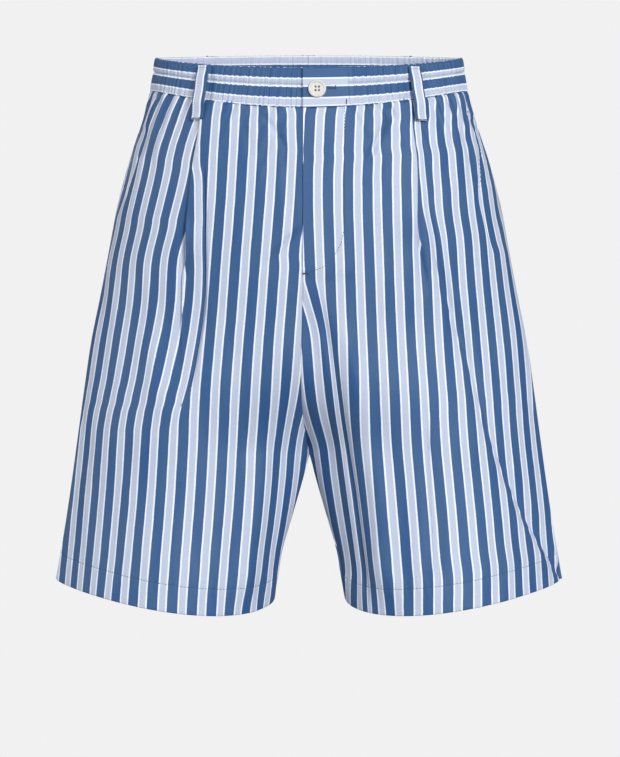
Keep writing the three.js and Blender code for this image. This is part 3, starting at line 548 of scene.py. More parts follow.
def frontSurface(side):
    # sections of skin() with the pleat's S, gathers, fly and creases added along its normal
    turn = turnOf[side]
    rows = rowCoefficients()
    c0, c1, c2, inset, dimple = (rows[:, i][:, None] for i in range(5))
    heightAt = lambda a: c0 + c1 * waistSeamZ("front", np.minimum(a, quarter)) + c2 * hemZ("front", a)
    atPleat = heightAt(0.9)
    edgeX = column(pleat[side], "x", atPleat) - turn * shape["sideShift"]
    edge = angleAtX(side, "front", edgeX, atPleat)
    z0 = heightAt(edge)
    opens = pleat["opens"][side]
    closed = np.maximum(0, (z0 - opens) / (shape["seamSide"] - opens))
    turned = np.clip(1 - (opens - z0) / pleat["openingHeight"], 0, 1)
    least, most = pleat["closing"][side], pleat["overlap"][side]
    overlap = np.where(turned == 1, least + (most - least) * closed, least * turned)
    radius = pleat["turnRadius"] + (pleat["openRadius"] - pleat["turnRadius"]) * (1 - turned)
    scale = stretch(side, "front", edge, z0)
    bend = edge + np.where(turned > 0, overlap / scale, 0)
    f = np.linspace(0, 1, panel["outer"])[None, :-1]
    full = crowd(side, "front", np.concatenate([bend * f, bend], 1), z0)
    outer = full[:, :-1]
    along, up = foldProfile(overlap[:, 0], np.pi * turned[:, 0], radius[:, 0], panel["turn"])
    spread = np.linspace(0, 0.6, along.shape[1])[None, :] * (1 - smooth(turned * 4))
    fold = bend + (along + spread) / scale
    last = fold[:, -1:]
    underlap = 0 * z0
    if side == "right":
        reach = fly["underlap"] * smooth((z0 - fly["bottomZ"] - 24) / 30)
        underlap = reach / stretch(side, "front", quarter, z0)
    end = endAngle("front", z0) + underlap
    g = np.linspace(0, 1, panel["inner"] + 1)[None, 1:] ** 1.35
    full = np.concatenate([last, last + (end - last) * g], 1)
    inner = crowd(side, "front", full, z0)[:, 1:]
    past = (inner - last) * scale - overlap
    ramp = up[:, -1:] * (1 - smooth(past / pleat["ramp"]))
    angle = np.concatenate([outer, fold, inner], 1)
    lift = np.concatenate([0 * outer, up, ramp], 1)
    near = np.concatenate([(bend - outer) * scale - overlap, 0 * fold, past], 1)
    z = heightAt(angle)
    x, y = skin(side, "front", angle, z)
    flyWay = (x - fly["stitchX"]) if side == "left" else (fly["edgeX"] - 3 - x)
    flat = smooth((near - 3) / 10) * smooth(flyWay / 15) * smooth(angle * 8)
    below = waistSeamZ("front", np.minimum(angle, quarter)) - z
    wave = (gatherAt(angle * scale, below) + unevenAt(x, z, 0)) * flat
    inside = smooth(0.35 - below / 0.9)
    clear = np.concatenate([1 + 0 * outer, 1 + 0 * fold, smooth((past + 1) / 5)], 1)
    plainLift = lift - foldAt(side, "front", x, z) * clear
    wave = wave - foldAt(side, "front", x, z, slack=True) * clear
    lift = (plainLift + wave + panel["out"]) * (1 - 0.65 * inside) - 0.45 * inside + flyLift(side, x, z)
    lift = lift - seamDip(below)
    lift = lift - inset * 1.1 - 0.25 * dimple
    lift = lift + hemPucker(angle * scale, z - hemZ("front", angle))
    nx, ny = outward(side, "front", angle, z)
    plain = seamFlanges(side, "front", x + nx * plainLift, y + ny * plainLift, z)
    drawnIn = gather["takenIn"] * np.exp(-2 * np.maximum(below, 0) / gather["fade"]) * flat
    return seamFlanges(side, "front", x + nx * lift, y + ny * lift, z), plain, drawnIn


def seamDip(below):
    # the cloth rises out from behind the waistband's lower edge
    return seam["dip"] * np.exp(-(np.maximum(below, 0) / seam["dipReach"]) ** 2)


def hemPucker(length, above):
    # small ripples along the hem's stitching
    near = np.exp(-((above - hemLine["depth"]) / 9) ** 2)
    return 0.22 * near * np.sin(2 * np.pi * length / 7.5 + 1.5 * np.sin(length / 19))


def seamFlanges(side, face, x, y, z):
    # turns the cloth's edges in at the seams: along -x at the side and inseam, along y in the middle
    turn = turnOf[side]
    lean = -1 if face == "front" else 1
    gap = seam["gap"]
    inwards = np.array(seam["turnedIn"])
    sideX = x[:, :1] - turn * inwards[None, :]
    sideY = y[:, :1] + lean * gap + 0 * inwards[None, :]
    legs = z[:, -1:] <= crotch["z"] + 1e-6
    legX = x[:, -1:] + turn * inwards[None, ::-1]
    legY = y[:, -1:] + lean * gap + 0 * inwards[None, ::-1]
    depth = np.clip((z[:, -1:] - crotch["z"]) / 40, 0.03, 1)
    midX = x[:, -1:] + turn * 0.12 + 0 * inwards[None, ::-1]
    midY = y[:, -1:] - lean * inwards[None, ::-1] * depth
    if face == "front":
        held = smooth((z[:, -1:] - fly["bottomZ"]) / 4)
        midY = y[:, -1:] * held + midY * (1 - held)
        midX = x[:, -1:] - turn * np.array([[0.05, 0.1]]) * held + (midX - x[:, -1:]) * (1 - held)
    endX = np.where(legs, legX, midX)
    endY = np.where(legs, legY, midY)
    x = np.concatenate([sideX, x, endX], 1)
    y = np.concatenate([sideY, y, endY], 1)
    z = np.concatenate([z[:, :1], z[:, :1], z, z[:, -1:], z[:, -1:]], 1)
    return x, y, z


def backSurface(side):
    # sections of skin() with gathers and creases, from the side seam to the seat seam
    rows = rowCoefficients()
    c0, c1, c2, inset, dimple = (rows[:, i][:, None] for i in range(5))
    heightAt = lambda a: c0 + c1 * waistSeamZ("back", np.minimum(a, quarter)) + c2 * hemZ("back", a)
    end = endAngle("back", heightAt(quarter))
    angle = crowd(side, "back", end * np.linspace(0, 1, panel["back"])[None, :], heightAt(quarter / 2))
    z = heightAt(angle)
    x, y = skin(side, "back", angle, z)
    length = angle * stretch(side, "back", quarter / 2 + 0 * z[:, :1], z[:, :1])
    below = waistSeamZ("back", np.minimum(angle, quarter)) - z
    ends = smooth(angle * 8) * smooth((end - angle) * 8)
    wave = (gatherAt(length + 5, below) + unevenAt(x, z, 3)) * ends
    inside = smooth(0.35 - below / 0.9)
    plainLift = -foldAt(side, "back", x, z)
    wave = wave - foldAt(side, "back", x, z, slack=True)
    lift = (plainLift + wave + panel["out"]) * (1 - 0.65 * inside) - 0.45 * inside - seamDip(below)
    lift = lift - inset * 1.1 - 0.25 * dimple
    lift = lift + hemPucker(length, z - hemZ("back", angle))
    nx, ny = outward(side, "back", angle, z)
    plain = seamFlanges(side, "back", x + nx * plainLift, y + ny * plainLift, z)
    drawnIn = gather["takenIn"] * np.exp(-2 * np.maximum(below, 0) / gather["fade"]) * ends
    return seamFlanges(side, "back", x + nx * lift, y + ny * lift, z), plain, drawnIn


def clothUv(side, face, surface, plain, drawnIn):
    # across: length along each row from the straight grain, with what the gathers and tucks take in;
    # along: the height
    x, y, z = surface
    step = np.hypot(np.diff(plain[0], axis=1), np.diff(plain[1], axis=1))
    step = step * (1 + np.pad(drawnIn, ((0, 0), (2, 2)), mode="edge")[:, 1:])
    across = np.concatenate([np.zeros((len(x), 1)), np.cumsum(step, 1)], 1)
    line = turnOf[side] * (50 + 0.07 * (shape["seamSide"] - z))
    if face == "front":
        line = column(grain[side], "x", z)
    away = (x - line) * turnOf[side]
    keep = (np.arange(x.shape[1]) < x.shape[1] - 2)[None, :] & (away > 0)
    i = x.shape[1] - 1 - np.argmax(keep[:, ::-1], 1)
    r = np.arange(len(x))
    share = away[r, i] / (away[r, i] - away[r, i + 1])
    zero = across[r, i] + share * (across[r, i + 1] - across[r, i])
    hidden = takenUp(side, face, line, z) - takenUp(side, face, x, z)
    u = (zero[:, None] - across + hidden) * turnOf[side]
    return np.stack([u * mm, z * mm], -1)


def panelPiece(name, side, face, material):
    surface, plain, drawnIn = frontSurface(side) if face == "front" else backSurface(side)
    uv = clothUv(side, face, surface, plain, drawnIn)
    flip = (turnOf[side] > 0) == (face == "front")
    points = np.stack(surface, -1)
    quads = gridQuads(*points.shape[:2], flip=flip)
    piece = makeMesh(name, points.reshape(-1, 3), quads, uv.reshape(-1, 2))
    piece.data.materials.append(material)
    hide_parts(name)
    thicken(piece, panel["cloth"])
    return piece, points


panelCloth = clothMaterial("panelPoplin", poplin["dark"] / 2)
surfaces = {}
sewn = {}
for face in ("front", "back"):
    for side in ("right", "left"):
        name = f"{face}_{side}"
        sewn[name], surfaces[name] = panelPiece(name, side, face, panelCloth)
print("panels are sewn")

# The waistband: two elasticated stretches and the flat tab over the fly
band = {
    "thickness": 2.6, "tabThickness": 2.4, "width": 39.5, "puff": 0.7, "wave": 0.5, "length": 6.1,
    "fine": 0.36, "fineLength": 3.1, "sunk": -0.9, "channel": 0.582, "groove": 1.1,
    "tabFrom": -5, "tabTo": 38.3, "step": 0.55,
}


def frontAngle(side, x):
    # signed waist angle of a place on the front, negative on the front and 0 at the side seam
    outer = shape["sideShift"] + turnOf[side] * column(body, "halfWidth", 0.0)
    run = outer - innerX(side, "front", np.array(0.0))
    return -np.arccos(1 - (outer - x) / run)


def bandPoint(side, signed, height, out):
    # a point of the band: height from 0 at the waist seam to 1 at the top, moved out along the normal
    points = []
    for face, mask in (("front", signed < 0), ("back", signed >= 0)):
        angle = np.abs(signed)
        low, high = waistSeamZ(face, angle) + 0.15, bandTopZ(face, angle)
        z = low + (high - low) * height
        x, y = skin(side, face, angle, z)
        nx, ny = outward(side, face, angle, z)
        points.append(np.stack([x + nx * out, y + ny * out, z], -1) * mask[..., None])
    return points[0] + points[1]


def evenStations(side, start, end, step):
    # signed angles spaced evenly along the waist, and the length to each
    fine = np.linspace(start, end, 1500)
    path = bandPoint(side, fine, 0.5 + 0 * fine, 0 * fine)
    lengths = np.concatenate([[0], np.cumsum(np.linalg.norm(np.diff(path, axis=0), axis=1))])
    count = int(round(lengths[-1] / step))
    at = np.linspace(0, lengths[-1], count + 1)
    return np.interp(at, lengths, fine), at


def bandProfile():
    # closed section: height share, side (1 outer, -1 inner), how much it puffs, and cloth distance
    channel, width = band["channel"], band["width"]
    up = np.concatenate([np.linspace(0, channel - 0.03, 13), [channel - 0.015, channel, channel + 0.015],
                         np.linspace(channel + 0.03, 1, 10)])
    lower = np.sin(np.pi * np.clip(up / channel, 0, 1)) ** 0.6
    upper = np.sin(np.pi * np.clip((up - channel) / (1 - channel), 0, 1)) ** 0.6
    outerPuff = np.where(up < channel, lower, upper)
    down = np.linspace(1, 0, 9)
    height = np.concatenate([up, [1.012], down, [-0.004]])
    sideways = np.concatenate([np.ones(len(up)), [0.0], -np.ones(len(down)), [0.0]])
    sideways[[0, len(up) - 1, len(up) + 1, -2]] *= 0.72
    puff = np.concatenate([outerPuff, np.zeros(len(down) + 2)])
    distance = np.concatenate([(1 - up) * width, [0.4], -0.4 - (1 - down) * width, [width + 1]])
    return height, sideways, puff, distance


def bandPiece(name, side, start, end, thickness, elastic, shiftAt, material):
    signed, length = evenStations(side, start, end, band["step"])
    height, sideways, puff, distance = bandProfile()
    S, H = signed[:, None] + 0 * height, height[None, :] + 0 * signed[:, None]
    L = length[:, None]
    ends = smooth(L / 9) * smooth((length[-1] - L) / 9) * elastic
    turn = 2 * np.pi * L / band["length"]
    # ripples of uneven length, a finer set on them, and the groove along the channel
    wave = np.sin(turn + 1.3 * np.sin(turn / 5.3 + 1) + 0.5 * np.sin(turn / 2.3))
    wave = wave + 0.35 * np.sin(2.3 * turn + 3 * H)
    fine = np.sin(2 * np.pi * L / band["fineLength"] + 2 * np.sin(turn / 1.7) + 2 * H)
    wave = band["wave"] * wave + band["fine"] * fine
    stitched = np.exp(-((H - band["channel"]) / 0.022) ** 2)
    calm = 1 - 0.5 * stitched
    outer = (sideways > 0)[None, :]
    out = sideways * thickness / 2 + band["puff"] * puff * elastic + shiftAt(S)
    out = out + ends * wave * np.where(outer, 1.0, 0.6) * calm
    out = out - band["groove"] * stitched * outer * elastic
    lifted = 0.006 * ends * np.sin(turn * 0.9 + 2) * (H - 0.5)
    points = bandPoint(side, S, H + lifted, out)
    gathered = 1 + 0.3 * elastic
    sway = 0.45 * wave * ends * outer
    uv = np.stack([(distance[None, :] + sway) * mm, L * gathered * mm + 0 * H], -1)
    rows, columns = H.shape
    quads = gridQuads(rows, columns, flip=turnOf[side] > 0, closed=True)
    quads = np.concatenate([quads, endCaps(rows, columns, turnOf[side] > 0)])
    piece = makeMesh(name, points.reshape(-1, 3), quads, uv.reshape(-1, 2))
    piece.data.materials.append(material)
    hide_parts(name)
    return piece, points


def endCaps(rows, columns, flip):
    # quads that close a tube's two ends, joining its outer and inner profile points in pairs
    outer = np.arange(0, columns // 2 - 1)
    inner = columns - 1 - outer
    first = np.stack([outer, inner, inner - 1, outer + 1], -1)
    last = first[:, ::-1] + (rows - 1) * columns
    caps = np.concatenate([first, last])
    return caps[:, ::-1] if flip else caps


bandCloth = clothMaterial("bandPoplin", 0.0)


def level(value):
    # the same shift all along a stretch
    return lambda signed: value + 0 * signed


def sinkUnderTab(signed):
    # the right band drops behind the tab where its angle passes the fly edge
    at = frontAngle("right", band["tabFrom"])
    return band["sunk"] - 1.05 * smooth((at + 0.13 - signed) / 0.11)


tabEnds = [frontAngle("left", band[end]) for end in ("tabTo", "tabFrom")]
underTab = frontAngle("right", band["tabFrom"] + 16)
besideTab = frontAngle("left", band["tabTo"] + 0.4)
stretches = {  # side, two ends, thickness, elastic or flat, and shift outwards
    "waistband_right": ("right", underTab, quarter, band["thickness"], 1, sinkUnderTab),
    "waistband_left": ("left", besideTab, quarter, band["thickness"], 1, level(band["sunk"])),
    "waistband_tab": ("left", *tabEnds, band["tabThickness"], 0, level(fly["lift"])),
}
bandSurfaces = {}
for name, sizes in stretches.items():
    sewn[name], bandSurfaces[name] = bandPiece(name, *sizes, bandCloth)
print("waistband is sewn")

# Belt loops: strips that bow out over the band
loop = {
    "width": 13, "thickness": 1.6, "bow": 3.4, "overBand": 2.2, "overPleat": 4.05, "overGathers": 2.4,
    "shift": {"right": 15.9, "left": 14.4, "back": 14.8},
    "front": {"right": {"x": (101.5, 105.3), "over": -0.9, "below": 18.8},
              "left": {"x": (101.5, 105.8), "over": -2.4, "below": 21}},
    "back": {"x": (98, 103), "over": 1.2, "below": 14},
}


def loopPiece(name, side, face, topAngle, lowAngle, sizes, lowOut, shift):
    # the centreline follows the band at an even slope and bows out; the section is a flat strip
    share = np.linspace(0, 1, 60)
    top = bandTopZ(face, topAngle) + sizes["over"]
    bottom = waistSeamZ(face, lowAngle) - sizes["below"]
    z = top + (bottom - top) * share
    angle = topAngle + (lowAngle - topAngle) * share
    x, y = skin(side, face, angle, z)
    nx, ny = outward(side, face, angle, z)
    rest = loop["overBand"] + (lowOut - loop["overBand"]) * smooth((share - 0.3) / 0.55)
    out = rest + loop["bow"] * smooth(share / 0.3) * smooth((0.93 - share) / 0.3) + loop["thickness"] / 2
    path = np.stack([x + nx * out, y + ny * out, z], -1)
    along = np.gradient(path, axis=0)
    along /= np.linalg.norm(along, axis=1)[:, None]
    across = np.stack([ny, -nx, 0 * nx], -1)
    up = np.cross(along, across)
    up *= np.sign(np.sum(up * np.stack([nx, ny, 0 * nx], -1), 1))[:, None]
    w = np.linspace(-1, 1, 15)
    half = loop["width"] / 2
    swell = 0.12 * np.cos(np.pi * w) - 0.25 * np.exp(-((np.abs(w) - 0.78) / 0.07) ** 2)
    sideW = np.concatenate([w * half, [half + 0.35], w[::-1] * half, [-half - 0.35]])
    sideT = np.concatenate([loop["thickness"] / 2 + swell, [0], -loop["thickness"] / 2 + 0 * w, [0]])
    points = (path[:, None] + across[:, None] * sideW[None, :, None] + up[:, None] * sideT[None, :, None])
    length = np.concatenate([[0], np.cumsum(np.linalg.norm(np.diff(path, axis=0), axis=1))])
    u = np.broadcast_to(shift - sideW[None, :], points.shape[:2])
    v = np.broadcast_to(length[:, None], points.shape[:2])
    uv = np.stack([u * mm, v * mm], -1)
    rows, columns = len(share), len(sideW)
    quads = gridQuads(rows, columns, closed=True)
    quads = np.concatenate([quads, endCaps(rows, columns, False)])
    piece = makeMesh(name, points.reshape(-1, 3), quads, uv.reshape(-1, 2))
    piece.data.materials.append(loopCloth)
    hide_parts(name)
    return piece, path, across, up


loopCloth = clothMaterial("loopPoplin", 0.0)
loopPlaces = {}
for side in ("right", "left"):
    for face, sizes, heights, lowOut, shift in (
        ("front", loop["front"][side], (8.0, -36.0), loop["overPleat"], loop["shift"][side]),
        ("back", loop["back"], (25.0, -20.0), loop["overGathers"], loop["shift"]["back"]),
    ):
        ends = [angleAtX(side, face, x, np.array(z)) for x, z in zip(sizes["x"], heights)]
        loopPlaces[f"loop_{face}_{side}"] = (side, face, *ends, sizes, lowOut, shift)
centre = ("left", "back", quarter, quarter, loop["back"], loop["overGathers"], loop["shift"]["back"])
loopPlaces["loop_back_centre"] = centre
loops = {name: loopPiece(name, *place) for name, place in loopPlaces.items()}
sewn.update({name: made[0] for name, made in loops.items()})
print("belt loops are sewn")

# The button: a turned disc with a raised rim and four holes
button = {"diameter": 17.5, "thickness": 3, "spacing": 3.4, "hole": 1.9, "x": 8.4, "z": -18.7}


def buttonMaterial(name, low, high):
    # satin resin with faint cloudy streaks between two tones
    material = bpy.data.materials.new(name)
    material.use_nodes = True
    tree = material.node_tree
    make = nodeMaker(tree)
    shader = tree.nodes["Principled BSDF"]
    place = tree.nodes.new("ShaderNodeTexCoord")
    ramp = make("ShaderNodeValToRGB", i0=noiseOn(make, place.outputs["Object"], 260.0, 3.0))
    ramp.color_ramp.elements[0].color = low + (1,)
    ramp.color_ramp.elements[1].color = high + (1,)
    tree.links.new(ramp.outputs[0], shader.inputs["Base Color"])
    shader.inputs["Roughness"].default_value = 0.3
    return material


def buttonPiece():
    # polar grid: height above the back is a profile of the radius, less a pit at each hole
    angle = abs(frontAngle("left", button["x"]))
    x, y = skin("left", "front", angle, np.array(float(button["z"])))
    upX, upY = skin("left", "front", angle, np.array(button["z"] + 5.0))
    up = np.array([upX - x, upY - y, 5.0])
    up /= np.linalg.norm(up)
    nx, ny = outward("left", "front", angle, np.array(float(button["z"])))
    facing = np.array([float(nx), float(ny), 0.0])
    facing -= up * (facing @ up)
    facing /= np.linalg.norm(facing)
    right = np.cross(up, facing) * -1
    radius, thick = button["diameter"] / 2, button["thickness"]
    shareR = np.array([0, 0.5, 0.82, 0.97, 1, 0.985, 0.95, 0.91, 0.86, 0.8, 0.75, 0.71, 0.68])
    heights = np.array([0, 0, 0, 0.3, 0.55, 0.75, 0.9, 0.97, 1, 0.97, 0.88, 0.77, 0.72]) * thick
    innerR = np.linspace(0.66, 0.002, 60)
    shareR = np.concatenate([shareR, innerR])
    heights = np.concatenate([heights, np.full(60, 0.7 * thick) - 0.12 * (0.66 - innerR)])
    turn = np.linspace(0, 2 * np.pi, 97)[:-1]
    r, t = shareR[:, None] * radius, turn[None, :]
    px, pz = r * np.cos(t), r * np.sin(t)
    h = heights[:, None] + 0 * t
    pits = 0 * h
    for sx in (-1, 1):
        for sz in (-1, 1):
            away = np.hypot(px - sx * button["spacing"] / 2, pz - sz * button["spacing"] / 2)
            pit = 1 - smooth((away - button["hole"] / 2 + 0.12) / 0.3)
            pits = np.maximum(pits, pit * (np.arange(len(shareR))[:, None] > 12))
    h = h - 1.6 * pits
    seat = np.array([float(x), float(y), float(button["z"])])
    seat = seat + facing * (fly["lift"] + band["tabThickness"] / 2 + 0.25)
    points = seat + px[..., None] * right + pz[..., None] * up + h[..., None] * facing
    quads = gridQuads(*px.shape, closed=True)
    piece = makeMesh("button", points.reshape(-1, 3), quads, None)
    piece.data.materials.append(buttonMaterial("buttonResin", (0.53, 0.52, 0.465), (0.68, 0.675, 0.64)))
    # painted shade: the faces inside the four shallow pits get a near-black copy of the resin, standing in
    # for the shade inside real through-holes
    piece.data.materials.append(buttonMaterial("holeShade", (0.02, 0.025, 0.045), (0.05, 0.06, 0.09)))
    pitted = (pits.ravel()[quads].min(1) > 0.35).astype(np.int32)
    piece.data.polygons.foreach_set("material_index", pitted)
    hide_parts("button")


buttonPiece()
print("button is on")

# Sewing: every stitch is a small raised grain of thread on the cloth
thread = {
    "length": 2.3, "pitch": 3.1, "width": 0.55,
    "colour": (0.04, 0.065, 0.14), "pale": (0.22, 0.28, 0.40),
}


def threadMaterial(name, colour):
    # twisted thread: fine diagonal bands of light and dark
    material = bpy.data.materials.new(name)
    material.use_nodes = True
    tree = material.node_tree
    make = nodeMaker(tree)
    shader = tree.nodes["Principled BSDF"]
    place = tree.nodes.new("ShaderNodeTexCoord")
    ramp = make("ShaderNodeValToRGB", i0=noiseOn(make, place.outputs["Object"], 2500.0, 1.0))
    ramp.color_ramp.elements[0].color = tuple(0.6 * c for c in colour) + (1,)
    ramp.color_ramp.elements[1].color = tuple(1.3 * c for c in colour) + (1,)
    tree.links.new(ramp.outputs[0], shader.inputs["Base Color"])
    shader.inputs["Roughness"].default_value = 0.6
    return material


navyThread = threadMaterial("navyThread", thread["colour"])


def normalsOf(points):
    # cross product of the grid's two directions at every point
    n = np.cross(np.gradient(points, axis=1), np.gradient(points, axis=0))
    return n / np.maximum(np.linalg.norm(n, axis=-1), 1e-9)[..., None]


def dropOn(points, x, z, lowestY=True):
    # for each x and z, the outermost grid point nearby, slid along its own plane to that x and z
    flat = points.reshape(-1, 3)
    normals = normalsOf(points).reshape(-1, 3)
    keep = np.abs(normals[:, 1]) > 0.15
    flat, normals = flat[keep], normals[keep]
    normals = normals * np.where(normals[:, 1:2] < 0, 1, -1) * (1 if lowestY else -1)
    away = (flat[None, :, 0] - x[:, None]) ** 2 + (flat[None, :, 2] - z[:, None]) ** 2
    score = away + np.where(away < 9, 0.6, 0) * flat[None, :, 1] * (1 if lowestY else -1)
    i = np.argmin(score, 1)
    p, n = flat[i], normals[i]
    y = p[:, 1] - (n[:, 0] * (x - p[:, 0]) + n[:, 2] * (z - p[:, 2])) / n[:, 1]
    return np.stack([x, y, z], -1), n


def evenAlong(path, pitch):
    # points at an even pitch along a polyline
    length = np.concatenate([[0], np.cumsum(np.linalg.norm(np.diff(path, axis=0), axis=1))])
    at = np.arange(pitch / 2, length[-1], pitch)
    return np.stack([np.interp(at, length, path[:, k]) for k in range(path.shape[1])], -1)


def stitchMesh(name, centres, normals, directions, length, width, material):
    # one small ellipsoid for each stitch, 6 sides by 5 rings, lying along its direction
    rings = np.linspace(-1, 1, 5)
    around = np.linspace(0, 2 * np.pi, 7)[:-1]
    bulge = np.sqrt(np.maximum(1 - (rings * 0.96) ** 2, 0.02))
    a = rings[:, None] * length / 2 + 0 * around
    b = bulge[:, None] * np.cos(around) * width / 2
    c = bulge[:, None] * np.sin(around) * width / 3 + width / 8
    directions = directions - normals * np.sum(directions * normals, 1)[:, None]
    directions /= np.linalg.norm(directions, axis=1)[:, None]
    cross = np.cross(normals, directions)
    points = (centres[:, None, None] + a[None, ..., None] * directions[:, None, None]
              + b[None, ..., None] * cross[:, None, None] + c[None, ..., None] * normals[:, None, None])
    one = gridQuads(5, 6, closed=True, flip=True)
    tips = np.array([[0, 1, 2, 3], [0, 3, 4, 5], [27, 26, 25, 24], [29, 28, 27, 24]])
    one = np.concatenate([one, tips])
    quads = (one[None] + 30 * np.arange(len(centres))[:, None, None]).reshape(-1, 4)
    piece = makeMesh(name, points.reshape(-1, 3), quads, None)
    piece.data.materials.append(material)
    return piece


def stitchLine(name, points, path, lowestY=True, length=None, pitch=None, across=False, material=None):
    # stitches along a path of (x, z) dropped on a surface
    at = evenAlong(np.array(path, float), pitch or thread["pitch"])
    centres, normals = dropOn(points, at[:, 0], at[:, 1], lowestY)
    directions = np.gradient(centres, axis=0)
    if across:
        directions = np.cross(normals, directions)
    length = length or thread["length"]
    return stitchMesh(name, centres, normals, directions, length, thread["width"], material or navyThread)


def hemStitches(name, points):
    # stitches along the panel's hem row
    rows = rowCoefficients()
    row = int(np.argmax(rows[:, 4]))
    line = points[row, 2:-2]
    normals = normalsOf(points)[row, 2:-2]
    length = np.concatenate([[0], np.cumsum(np.linalg.norm(np.diff(line, axis=0), axis=1))])
    at = np.arange(2, length[-1] - 1, thread["pitch"])
    centres = np.stack([np.interp(at, length, line[:, k]) for k in range(3)], -1)
    n = np.stack([np.interp(at, length, normals[:, k]) for k in range(3)], -1)
    middle = np.array([turnOf[name.split("_")[1]] * 140, -10, centres[:, 2].mean()])
    n *= np.sign(np.sum(n * (centres - middle), 1))[:, None]
    n /= np.linalg.norm(n, axis=1)[:, None]
    centres = centres + n * panel["cloth"] / 2
    return stitchMesh("hem_stitches_" + name, centres, n, np.gradient(centres, axis=0), thread["length"],
                      thread["width"], navyThread)


for name, points in surfaces.items():
    hemStitches(name, points)

flyStitch = [(35.4, -36), (35.4, -80), (35.4, -120), (35.4, -154), (32.2, -168.6), (24.4, -183),
             (15.6, -191.5), (5.9, -195.6), (-4, -198)]
lifted = surfaces["front_left"] + np.array([0, -panel["cloth"] / 2 - 0.1, 0])
stitchLine("fly_stitches", lifted, flyStitch)
stitchLine("fly_bartack", lifted, [(-5, -198.2), (0, -198.2)], length=2.2, pitch=0.5, across=True)

pocketBars = {
    "front_right": [(-157.3, -41.5), (-157.3, -47.5)],
    "front_left": [(158.2, -34.5), (158.2, -41)],
}
for name, bar in pocketBars.items():
    outside = surfaces[name] + np.array([0, -panel["cloth"] / 2 - 0.1, 0])
    stitchLine(name + "_pocket_bar", outside, bar, length=1.5, pitch=0.55, across=True)

channelThread = threadMaterial("channelThread", thread["pale"])


def channelStitches(name, points):
    # one stitch in the channel's groove at each step along the band
    column = int(np.argmin(np.abs(bandProfile()[0][:29] - band["channel"])))
    line = points[3:-3, column]
    length = np.concatenate([[0], np.cumsum(np.linalg.norm(np.diff(line, axis=0), axis=1))])
    s = np.arange(1.5, length[-1] - 1, 2.1)
    centres = np.stack([np.interp(s, length, line[:, k]) for k in range(3)], -1)
    normals = centres * np.array([1, 1, 0])
    normals /= np.linalg.norm(normals, axis=1)[:, None]
    directions = np.gradient(centres, axis=0)
    stitchMesh(name, centres + normals * 0.1, normals, directions, 1.6, 0.5, channelThread)


for name in ("waistband_right", "waistband_left"):
    channelStitches(name + "_channel", bandSurfaces[name])

# The tab: buttonhole with two close rows of stitches and a bar, and a bar at the tab's end
hole = {"from": 17.2, "to": 26.8, "z": -17.2, "gap": 1.5, "bar": 4.4}
tabSurface = bandSurfaces["waistband_tab"]
for number, away in enumerate((-0.5, 0.5)):
    row = [(hole["from"], hole["z"] + away * hole["gap"]), (hole["to"], hole["z"] + away * hole["gap"])]
    stitchLine(f"buttonhole_edge_{number}", tabSurface, row, length=1.2, pitch=0.5, across=True)
bar = [(hole["to"], hole["z"] - hole["bar"] / 2), (hole["to"], hole["z"] + hole["bar"] / 2)]
stitchLine("buttonhole_bar", tabSurface, bar, length=1.3, pitch=0.5, across=True)
stitchLine("tab_bar", tabSurface, [(37.4, -33.5), (37.4, -28.6)], length=1.4, pitch=0.5, across=True)


def loopStitches(name, path, across, up):
    # a row across near the top, a close bar at the foot and a fine row along each edge
    half = loop["width"] / 2
    lengths = np.concatenate([[0], np.cumsum(np.linalg.norm(np.diff(path, axis=0), axis=1))])
    at = lambda grid, s: np.stack([np.interp(s, lengths, grid[:, k]) for k in range(3)], -1)
    seats = []
    for down, pitch, long, cross in ((2.8, 1.9, 1.7, False), (lengths[-1] - 0.8, 0.5, 1.2, True)):
        w = np.arange(-half + 0.6, half - 0.4, pitch)
        seats.append((w, down + 0 * w, long, cross))
    for w in (-half + 1.1, half - 1.1):
        s = np.arange(4.5, lengths[-1] - 2, 2.4)
        seats.append((w + 0 * s, s, 1.7, True))
    for number, (w, s, long, downwards) in enumerate(seats):
        sideways, outwards = at(across, s), at(up, s)
        centres = at(path, s) + sideways * w[:, None] + outwards * (loop["thickness"] / 2 - 0.02)
        along = at(np.gradient(path, axis=0), s)
        way = along if downwards else sideways + 0 * along
        stitchMesh(f"{name}_stitches_{number}", centres, outwards, way, long, 0.5, navyThread)


for name, (piece, path, across, up) in loops.items():
    loopStitches(name, path, across, up)
print("stitches are in")

# Plain pale studio: a round room of even paper, so that every side is seen against the same tone
studio = {
    "radius": 6.5, "floorZ": -3.2, "top": 9, "bend": 1.2, "glow": 0.88,
    "key": 206, "sideRight": 12, "sideLeft": 48, "fill": 15, "back": 110, "world": 0.27,
}


def studioPaper():
    # paper that only the camera sees: it glows evenly and neither lights nor shades the shorts
    material = bpy.data.materials.new("studioPaper")
    material.use_nodes = True
    shader = material.node_tree.nodes["Principled BSDF"]
    shader.inputs["Base Color"].default_value = (0, 0, 0, 1)
    shader.inputs["Specular IOR Level"].default_value = 0
    shader.inputs["Emission Color"].default_value = (1, 1, 1, 1)
    shader.inputs["Emission Strength"].default_value = studio["glow"]
    return material


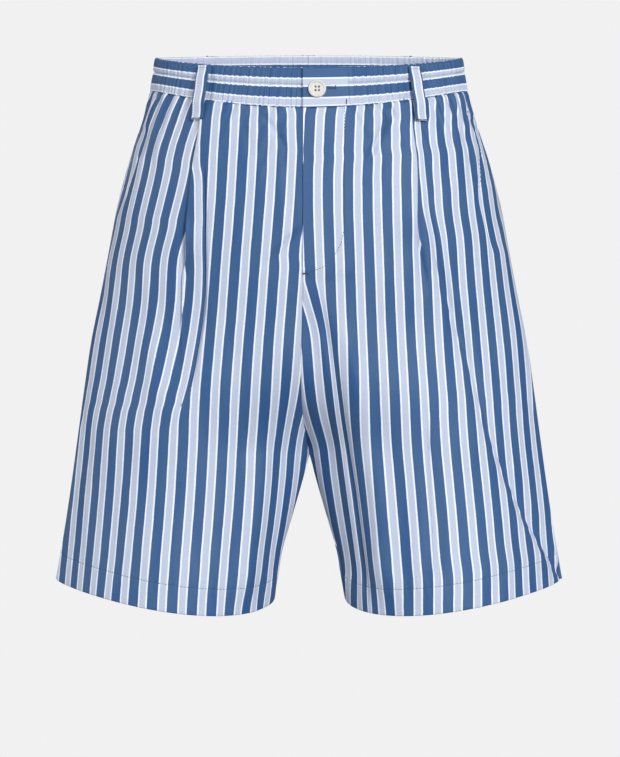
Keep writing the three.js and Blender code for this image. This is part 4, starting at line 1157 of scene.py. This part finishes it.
def studioRoom():
    # a profile of floor, quarter circle and wall, turned about the middle
    r, wall = studio["bend"], studio["radius"]
    bend = np.linspace(0, np.pi / 2, 12)
    out = np.concatenate([[0.01], wall - r + r * np.sin(bend), [wall]])
    z = np.concatenate([[0.0], r - r * np.cos(bend), [studio["top"]]]) + studio["floorZ"]
    turn = np.linspace(0, 2 * np.pi, 65)[:-1, None]
    points = np.stack([out * np.cos(turn), out * np.sin(turn), z + 0 * turn], -1)
    mesh = bpy.data.meshes.new("studio")
    points = points.transpose(1, 0, 2).reshape(-1, 3)
    mesh.from_pydata(points.tolist(), [], gridQuads(len(out), len(turn), closed=True).tolist())
    mesh.polygons.foreach_set("use_smooth", np.full(len(mesh.polygons), True))
    mesh.materials.append(studioPaper())
    room = bpy.data.objects.new("studio", mesh)
    bpy.context.scene.collection.objects.link(room)
    room.visible_diffuse = room.visible_glossy = room.visible_shadow = False


def softLight(name, place, aim, size, power):
    data = bpy.data.lights.new(name, "AREA")
    data.shape, data.size, data.energy = "SQUARE", size, power
    lamp = bpy.data.objects.new(name, data)
    bpy.context.scene.collection.objects.link(lamp)
    lamp.location = place
    lamp.visible_camera = False
    way = np.array(aim, float) - np.array(place, float)
    lamp.rotation_euler = Vector(way).to_track_quat("-Z", "Y").to_euler()
    return lamp


studioRoom()
softLight("key", (1.9, -4.3, 1.2), (0, 0, -0.3), 1.5, studio["key"])
softLight("sideLeft", (-3.4, -0.9, 0.9), (0, 0, -0.28), 1.6, studio["sideLeft"])
softLight("sideRight", (3.4, -0.9, 0.9), (0, 0, -0.28), 1.6, studio["sideRight"])
softLight("fill", (-0.6, -3.2, -0.9), (0, 0, -0.35), 2.0, studio["fill"])
softLight("back", (-1.2, 4.4, 1.4), (0, 0, -0.3), 2.2, studio["back"])
world = bpy.data.worlds.new("studioWorld")
world.use_nodes = True
world.node_tree.nodes["Background"].inputs[0].default_value = (0.93, 0.95, 1.0, 1)
world.node_tree.nodes["Background"].inputs[1].default_value = studio["world"]
bpy.context.scene.world = world
bpy.context.scene.view_settings.view_transform = "Standard"

cameraData = bpy.data.cameras.new("camera")
cameraData.sensor_width = photo["sensor"]
cameraData.lens = photo["sensor"] * photo["distance"] / photo["height"]
cameraData.clip_end = 100
camera = bpy.data.objects.new("camera", cameraData)
camera.location = (photo["x"] * mm, -photo["distance"] * mm, photo["z"] * mm)
camera.rotation_euler = (quarter, 0, 0)
bpy.context.scene.collection.objects.link(camera)
bpy.context.scene.camera = camera
print("studio is lit")
